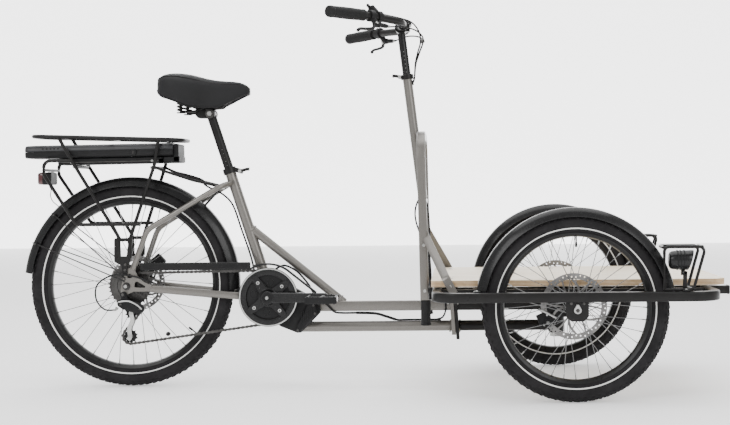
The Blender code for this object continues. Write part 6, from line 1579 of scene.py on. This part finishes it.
def build_lamps():
    for side, s in (("right", -1), ("left", 1)):
        out, inn, r, foot = 0.4100, 0.3450, 0.0042, 0.3042
        shapes = [(pipe([(0.7930, s * out, foot), (0.7930, s * out, 0.4165), (0.9020, s * out, 0.4165),
                         (0.8690, s * out, foot), (0.7930, s * out, foot)], r, 16, 0.013, 7), BLACK),
                  (pipe([(0.7910, s * out, 0.4150), (0.7910, s * inn, 0.4165), (0.8975, s * inn, 0.4165),
                         (0.8655, s * inn, foot + 0.001), (0.8680, s * out, foot + 0.001)], r, 16, 0.012, 7), BLACK),
                  (rod((0.8930, s * inn, 0.4165), (0.8930, s * out, 0.4165), r, 14), BLACK),
                  (block(0.8400, 0.8580, s * 0.3920, s * 0.4220, 0.2999, 0.3045, 0.0008), BLACK),
                  (plate([(0.8430, 0.3010), (0.8540, 0.3010), (0.8560, 0.3520), (0.8450, 0.3520)], s * 0.3925,
                         s * 0.3965, 0.0006, corner=0.003), BLACK),
                  (rod((0.8505, s * 0.3965, 0.3460), (0.8505, s * 0.3600, 0.3460), 0.0040, 16, 0.0005), STEEL)]
        for part in bolt((0.8490, s * 0.4150, 0.3044), (0, 0, 1), 0.0040, 0.0026):
            shapes.append((part, STEEL))
        piece("lamp_cage_" + side, "platform", shapes, ["lamp_cage_" + side])
        c = (0, s * 0.3780, 0.3800)
        shapes = [(turned([(0.0120, 0.8095), (0.0165, 0.8100), (0.0210, 0.8122), (0.0240, 0.8175), (0.0254, 0.8330),
                           (0.0262, 0.8560), (0.0262, 0.8620)], 44, c, "X"), GLOSS),
                  (turned([(0.0250, 0.8570), (0.0266, 0.8575), (0.0268, 0.8660), (0.0260, 0.8675), (0.0245, 0.8670),
                           (0.0242, 0.8610)], 44, c, "X", True), GLOSS),
                  (turned([(0.0245, 0.8635), (0.0200, 0.8650), (0.0120, 0.8662), (0.0030, 0.8666)], 44, c, "X"), CLEAR),
                  (block(0.8435, 0.8575, s * 0.3740, s * 0.3820, 0.3400, 0.3560, 0.0012), PLASTIC)]
        for x in (0.8300, 0.8380, 0.8460):
            shapes.append((turned([(0.0250, x), (0.0268, x + 0.0005), (0.0268, x + 0.0030), (0.0250, x + 0.0035)], 44,
                                  c, "X", True), PLASTIC))
        shapes = [((raked(shape[0]), shape[1]), kind) for shape, kind in shapes]
        piece("headlamp_" + side, "headlamp_" + side, shapes, ["headlamp_" + side])


def build_guard():
    shapes = [(plate([(-0.6705, 0.3460), (-0.6705, 0.3640), (-0.6660, 0.3660), (-0.3520, 0.3660), (-0.3500, 0.3640),
                      (-0.3500, 0.3460), (-0.3520, 0.3435), (-0.6660, 0.3435)], -0.0700, -0.0665, 0.0010), GLOSS),
              (plate([(-0.6600, 0.3490), (-0.6600, 0.3610), (-0.3600, 0.3610), (-0.3600, 0.3490)], -0.0706, -0.0698,
                     0.0004), PLASTIC)]
    arc = [polar(CRANK, 0.0970, 126 - 73 * k / 40, -0.0685) for k in range(41)]
    arc += [vec(-0.2000, -0.0685, 0.3072), vec(-0.1600, -0.0680, 0.2755)]
    shapes += [(sweep(arc, rounded(0.0028, 0.0060, 0.0014), (0, 1, 0)), GLOSS),
               (block(-0.3440, -0.3320, -0.0690, -0.0166, 0.3490, 0.3570, 0.0010), BLACK)]
    piece("chain_guard", "frame", shapes, ["chain_guard"])


def build_cables():
    path = smooth([(-0.7360, -0.0820, 0.2310), (-0.7700, -0.0840, 0.2340), (-0.7930, -0.0860, 0.2640),
                   (-0.7880, -0.0880, 0.3060), (-0.7450, -0.0860, 0.3320), (-0.6900, -0.0830, 0.3290),
                   (-0.6300, -0.0780, 0.3100)], 9)
    shapes = [(pipe(path, 0.0023, 12), PLASTIC), (rod(path[0], path[0] + unit(path[1] - path[0]) * 0.010, 0.0032, 14,
                                                     0.0004), STEEL)]
    piece("derailleur_cable", "frame", shapes, ["derailleur_cable"])
    path = smooth([(-0.2960, -0.0300, 0.3190), (-0.2850, -0.0305, 0.3400), (-0.2592, -0.0310, 0.3530),
                   (-0.2330, -0.0310, 0.3440), (-0.2120, -0.0310, 0.3280), (-0.1871, -0.0305, 0.2975),
                   (-0.1700, -0.0290, 0.2700), (-0.1300, -0.0230, 0.2330), (-0.1130, -0.0180, 0.2150),
                   (-0.0900, -0.0110, 0.2105), (-0.0400, -0.0100, 0.2103), (0.0083, -0.0100, 0.2080),
                   (0.0400, -0.0095, 0.1990), (0.0720, -0.0080, 0.1890), (0.1000, -0.0060, 0.1887),
                   (0.2000, -0.0060, 0.1887)], 6)
    shapes = [(pipe(path, 0.0030, 12), PLASTIC)]
    sleeve = [p for p in path if -0.0500 < p[0] < 0.0700]
    shapes.append((pipe(sleeve, 0.0041, 14), PLASTIC))
    a = np.array(path[0])
    shapes.append((rod(a - vec(0, 0, 0.004), a + vec(0.004, 0, 0.012), 0.0050, 18, 0.001), PLASTIC))
    piece("motor_cable", "frame", shapes, ["motor_cable"])
    upper = (
        [tuple(flip(HINGE - ALONG * 0.0560 + OUT * 0.0034, -1)), (0.1000, -0.1150, 1.0380), (0.1330, -0.0700, 1.0340),
         (0.1510, -0.0300, 1.0230), (0.1545, -0.0080, 1.0080), (0.1450, -0.0010, 0.9820), (0.1330, 0.0, 0.9480),
         (0.1290, 0.0, 0.9150), (0.1275, 0.0, 0.9000), (0.1235, 0.0, 0.8880)],
        [tuple(flip(HINGE - ALONG * 0.0560 + OUT * 0.0034, 1)), (0.1000, 0.1150, 1.0380), (0.1330, 0.0720, 1.0330),
         (0.1500, 0.0340, 1.0200), (0.1520, 0.0110, 1.0020), (0.1420, 0.0050, 0.9740), (0.1325, 0.0048, 0.9440),
         (0.1290, 0.0048, 0.9150), (0.1275, 0.0046, 0.9000), (0.1235, 0.0044, 0.8880)],
        [tuple(flip(GRIP_IN - ALONG * 0.0500 + vec(-0.004, 0, 0.010), -1)), (0.0950, -0.1150, 1.0620),
         (0.1250, -0.0800, 1.0540), (0.1430, -0.0380, 1.0330), (0.1465, -0.0110, 1.0060), (0.1385, -0.0050, 0.9780),
         (0.1310, -0.0048, 0.9460), (0.1288, -0.0048, 0.9150), (0.1272, -0.0048, 0.9000), (0.1232, -0.0044, 0.8880)],
    )
    for name, points in zip(("brake_hose_right", "brake_hose_left", "gear_cable_upper"), upper):
        obj = piece(name, None, [(pipe(smooth(points, 7), 0.0023, 12), PLASTIC)], ())
        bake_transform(obj)
    ring = turned_on((0.1505, 0.0, 1.0145), (0.1535, 0.0, 1.0035), [(0.0060, 0.0), (0.0072, 0.0010), (0.0072, 0.0090),
                                                                    (0.0060, 0.0100)], 24)
    piece("cable_ring", "bars", [(ring, STEEL)], ())
    def tail(y):
        return [(0.1790, y * 0.4, 0.2650), (0.1960, y * 0.8, 0.2560), (0.2110, y, 0.2440), (0.2150, y, 0.2280),
                (0.2120, y, 0.2090), (0.2030, y * 0.72, 0.1950), (0.1860, y * 0.50, 0.1895)]

    lower = (
        [(0.1440, -0.0040, 0.5520), (0.1330, -0.0080, 0.5340), (0.1268, -0.0120, 0.5080), (0.1290, -0.0160, 0.4800),
         (0.1380, -0.0200, 0.4500), (0.1500, -0.0240, 0.4150), (0.1620, -0.0240, 0.3700), (0.1680, -0.0230, 0.3150),
         (0.1700, -0.0120, 0.2830)] + tail(-0.0190),
        [(0.1560, 0.0000, 0.5480), (0.1640, -0.0040, 0.5180), (0.1675, -0.0100, 0.4766), (0.1690, -0.0160, 0.4380),
         (0.1690, -0.0220, 0.3790), (0.1720, -0.0210, 0.3200), (0.1720, -0.0150, 0.2850)] + tail(-0.0240),
        [(0.1500, 0.0040, 0.5500), (0.1500, 0.0060, 0.5200), (0.1540, 0.0080, 0.4800), (0.1600, 0.0060, 0.4300),
         (0.1650, -0.0020, 0.3700), (0.1680, -0.0060, 0.3150), (0.1690, -0.0060, 0.2830)] + tail(-0.0285),
    )
    for k, points in enumerate(lower):
        obj = piece("lower_cable_%d" % (k + 1), None, [(pipe(smooth(points, 7), 0.0025, 12), PLASTIC)], ())
        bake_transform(obj)
    runs = []
    for z in (0.2240, 0.2290, 0.2340):
        runs.append((pipe([(0.2100, 0.0175, z), (-0.0400, 0.0175, z), (-0.0700, 0.0150, z + 0.0040)], 0.0023, 12,
                          0.02, 5), PLASTIC))
    for x in (0.1500, 0.0800, -0.0050):
        runs.append((sweep([(x, 0.0152, 0.2180), (x, 0.0200, 0.2200), (x, 0.0205, 0.2290), (x, 0.0200, 0.2380),
                            (x, 0.0152, 0.2400)], rounded(0.0022, 0.0005, 0.0003, 1), (1, 0, 0)), PLASTIC))
    piece("cable_run", "frame", runs, ())
    supply = smooth([(-0.5790, -0.0300, 0.6300), (-0.5400, -0.0310, 0.6210), (-0.4960, -0.0300, 0.6060),
                     (-0.4875, -0.0295, 0.5910), (-0.4600, -0.0260, 0.5750), (-0.4405, -0.0200, 0.5650),
                     (-0.4200, -0.0080, 0.5450), (-0.4060, 0.0, 0.5175), (-0.3870, 0.0, 0.4600),
                     (-0.3680, 0.0, 0.4050), (-0.3560, 0.0, 0.3640), (-0.3460, 0.0, 0.3150)], 6)
    piece("battery_cable", "frame", [(pipe(supply, 0.0028, 12), PLASTIC)], ())


# ---------------------------------------------------------------- the whole model
build_wheels()
build_mudguards()
build_frame()
build_spine()
build_motor()
build_cranks()
build_chain()
build_sprockets()
build_derailleur()
build_rack()
build_battery()
build_saddle()
build_chassis()
build_hoop()
build_column()
build_bars()
build_brakes()
build_lamps()
build_guard()
build_cables()

# ---------------------------------------------------------------- room, light and camera
floor_mesh = bpy.data.meshes.new("studio_floor")
back = [(-14.0, 0.0)] + [(9.0 + 5.0 * math.sin(math.radians(a)), 5.0 - 5.0 * math.cos(math.radians(a)))
                         for a in range(0, 91, 6)] + [(14.0, 14.0)]
wide = 16.0
floor_mesh.from_pydata([(x, y, z) for x in (-wide, wide) for y, z in back], [],
                       [(k, k + 1, len(back) + k + 1, len(back) + k) for k in range(len(back) - 1)])
for face in floor_mesh.polygons:
    face.use_smooth = True
pale = bpy.data.materials.new("studio_white")
pale.use_nodes = True
pale_shader = pale.node_tree.nodes["Principled BSDF"]
pale_shader.inputs["Roughness"].default_value = 0.9
pale_noise = add(pale.node_tree, "TexNoise", Scale=0.6, Detail=2.0)
pale_mix = add(pale.node_tree, "Mix", data_type="RGBA")
pale_mix.inputs[6].default_value = (0.90, 0.90, 0.905, 1)
pale_mix.inputs[7].default_value = (0.93, 0.93, 0.93, 1)
pale_shader.inputs["Emission Color"].default_value = (1, 1, 1, 1)
pale_shader.inputs["Emission Strength"].default_value = 0.35
wire(pale.node_tree, pale_noise.outputs["Fac"], pale_mix.inputs[0])
wire(pale.node_tree, pale_mix.outputs[2], pale_shader.inputs["Base Color"])
floor_mesh.materials.append(pale)
floor = bpy.data.objects.new("studio_floor", floor_mesh)
bpy.context.scene.collection.objects.link(floor)

glow = bpy.data.materials.new("studio_backdrop")
glow.use_nodes = True
glow_shader = glow.node_tree.nodes["Principled BSDF"]
glow_noise = add(glow.node_tree, "TexNoise", Scale=0.3, Detail=1.0)
wire(glow.node_tree, ranged(glow.node_tree, glow_noise.outputs["Fac"], 2.9, 3.1),
     glow_shader.inputs["Emission Strength"])
glow_shader.inputs["Emission Color"].default_value = (1, 1, 1, 1)
panel_mesh = bpy.data.meshes.new("studio_backdrop")
panel_mesh.from_pydata([(-9.0, 8.9, 0.0), (9.0, 8.9, 0.0), (9.0, 8.9, 7.5), (-9.0, 8.9, 7.5)], [], [(0, 1, 2, 3)])
panel_mesh.materials.append(glow)
panel = bpy.data.objects.new("studio_backdrop", panel_mesh)
bpy.context.scene.collection.objects.link(panel)

world = bpy.data.worlds.new("studio")
world.use_nodes = True
world.node_tree.nodes["Background"].inputs["Color"].default_value = (1.0, 1.0, 1.0, 1)
world.node_tree.nodes["Background"].inputs["Strength"].default_value = 0.85
bpy.context.scene.world = world


def area_light(name, at, towards, size, power):
    data = bpy.data.lights.new(name, "AREA")
    data.shape, data.size, data.size_y, data.energy = "RECTANGLE", size[0], size[1], power
    lamp = bpy.data.objects.new(name, data)
    lamp.location = at
    lamp.rotation_euler = (Vector(towards) - Vector(at)).to_track_quat("-Z", "Y").to_euler()
    bpy.context.scene.collection.objects.link(lamp)


area_light("overhead", (0.0, 0.3, 4.2), (0, 0.1, 0), (5.0, 3.6), 190)
area_light("front_left", (-2.6, -4.2, 3.0), (-0.2, 0, 0.4), (2.6, 2.6), 120)
area_light("front_right", (3.0, -3.8, 2.4), (0.2, 0, 0.4), (2.4, 2.4), 85)

view = bpy.data.cameras.new("camera")
view.lens, view.sensor_width = 61.27, 36.0
view.shift_x, view.shift_y = -0.1247, -0.0336
view.clip_end = 60
camera = bpy.data.objects.new("camera", view)
camera.location = (0.2478, -3.67, 0.5757)
camera.rotation_euler = (Matrix.Rotation(math.radians(90), 3, "X") @ Matrix.Rotation(-0.0083, 3, "Z")).to_euler()
bpy.context.scene.collection.objects.link(camera)
bpy.context.scene.camera = camera
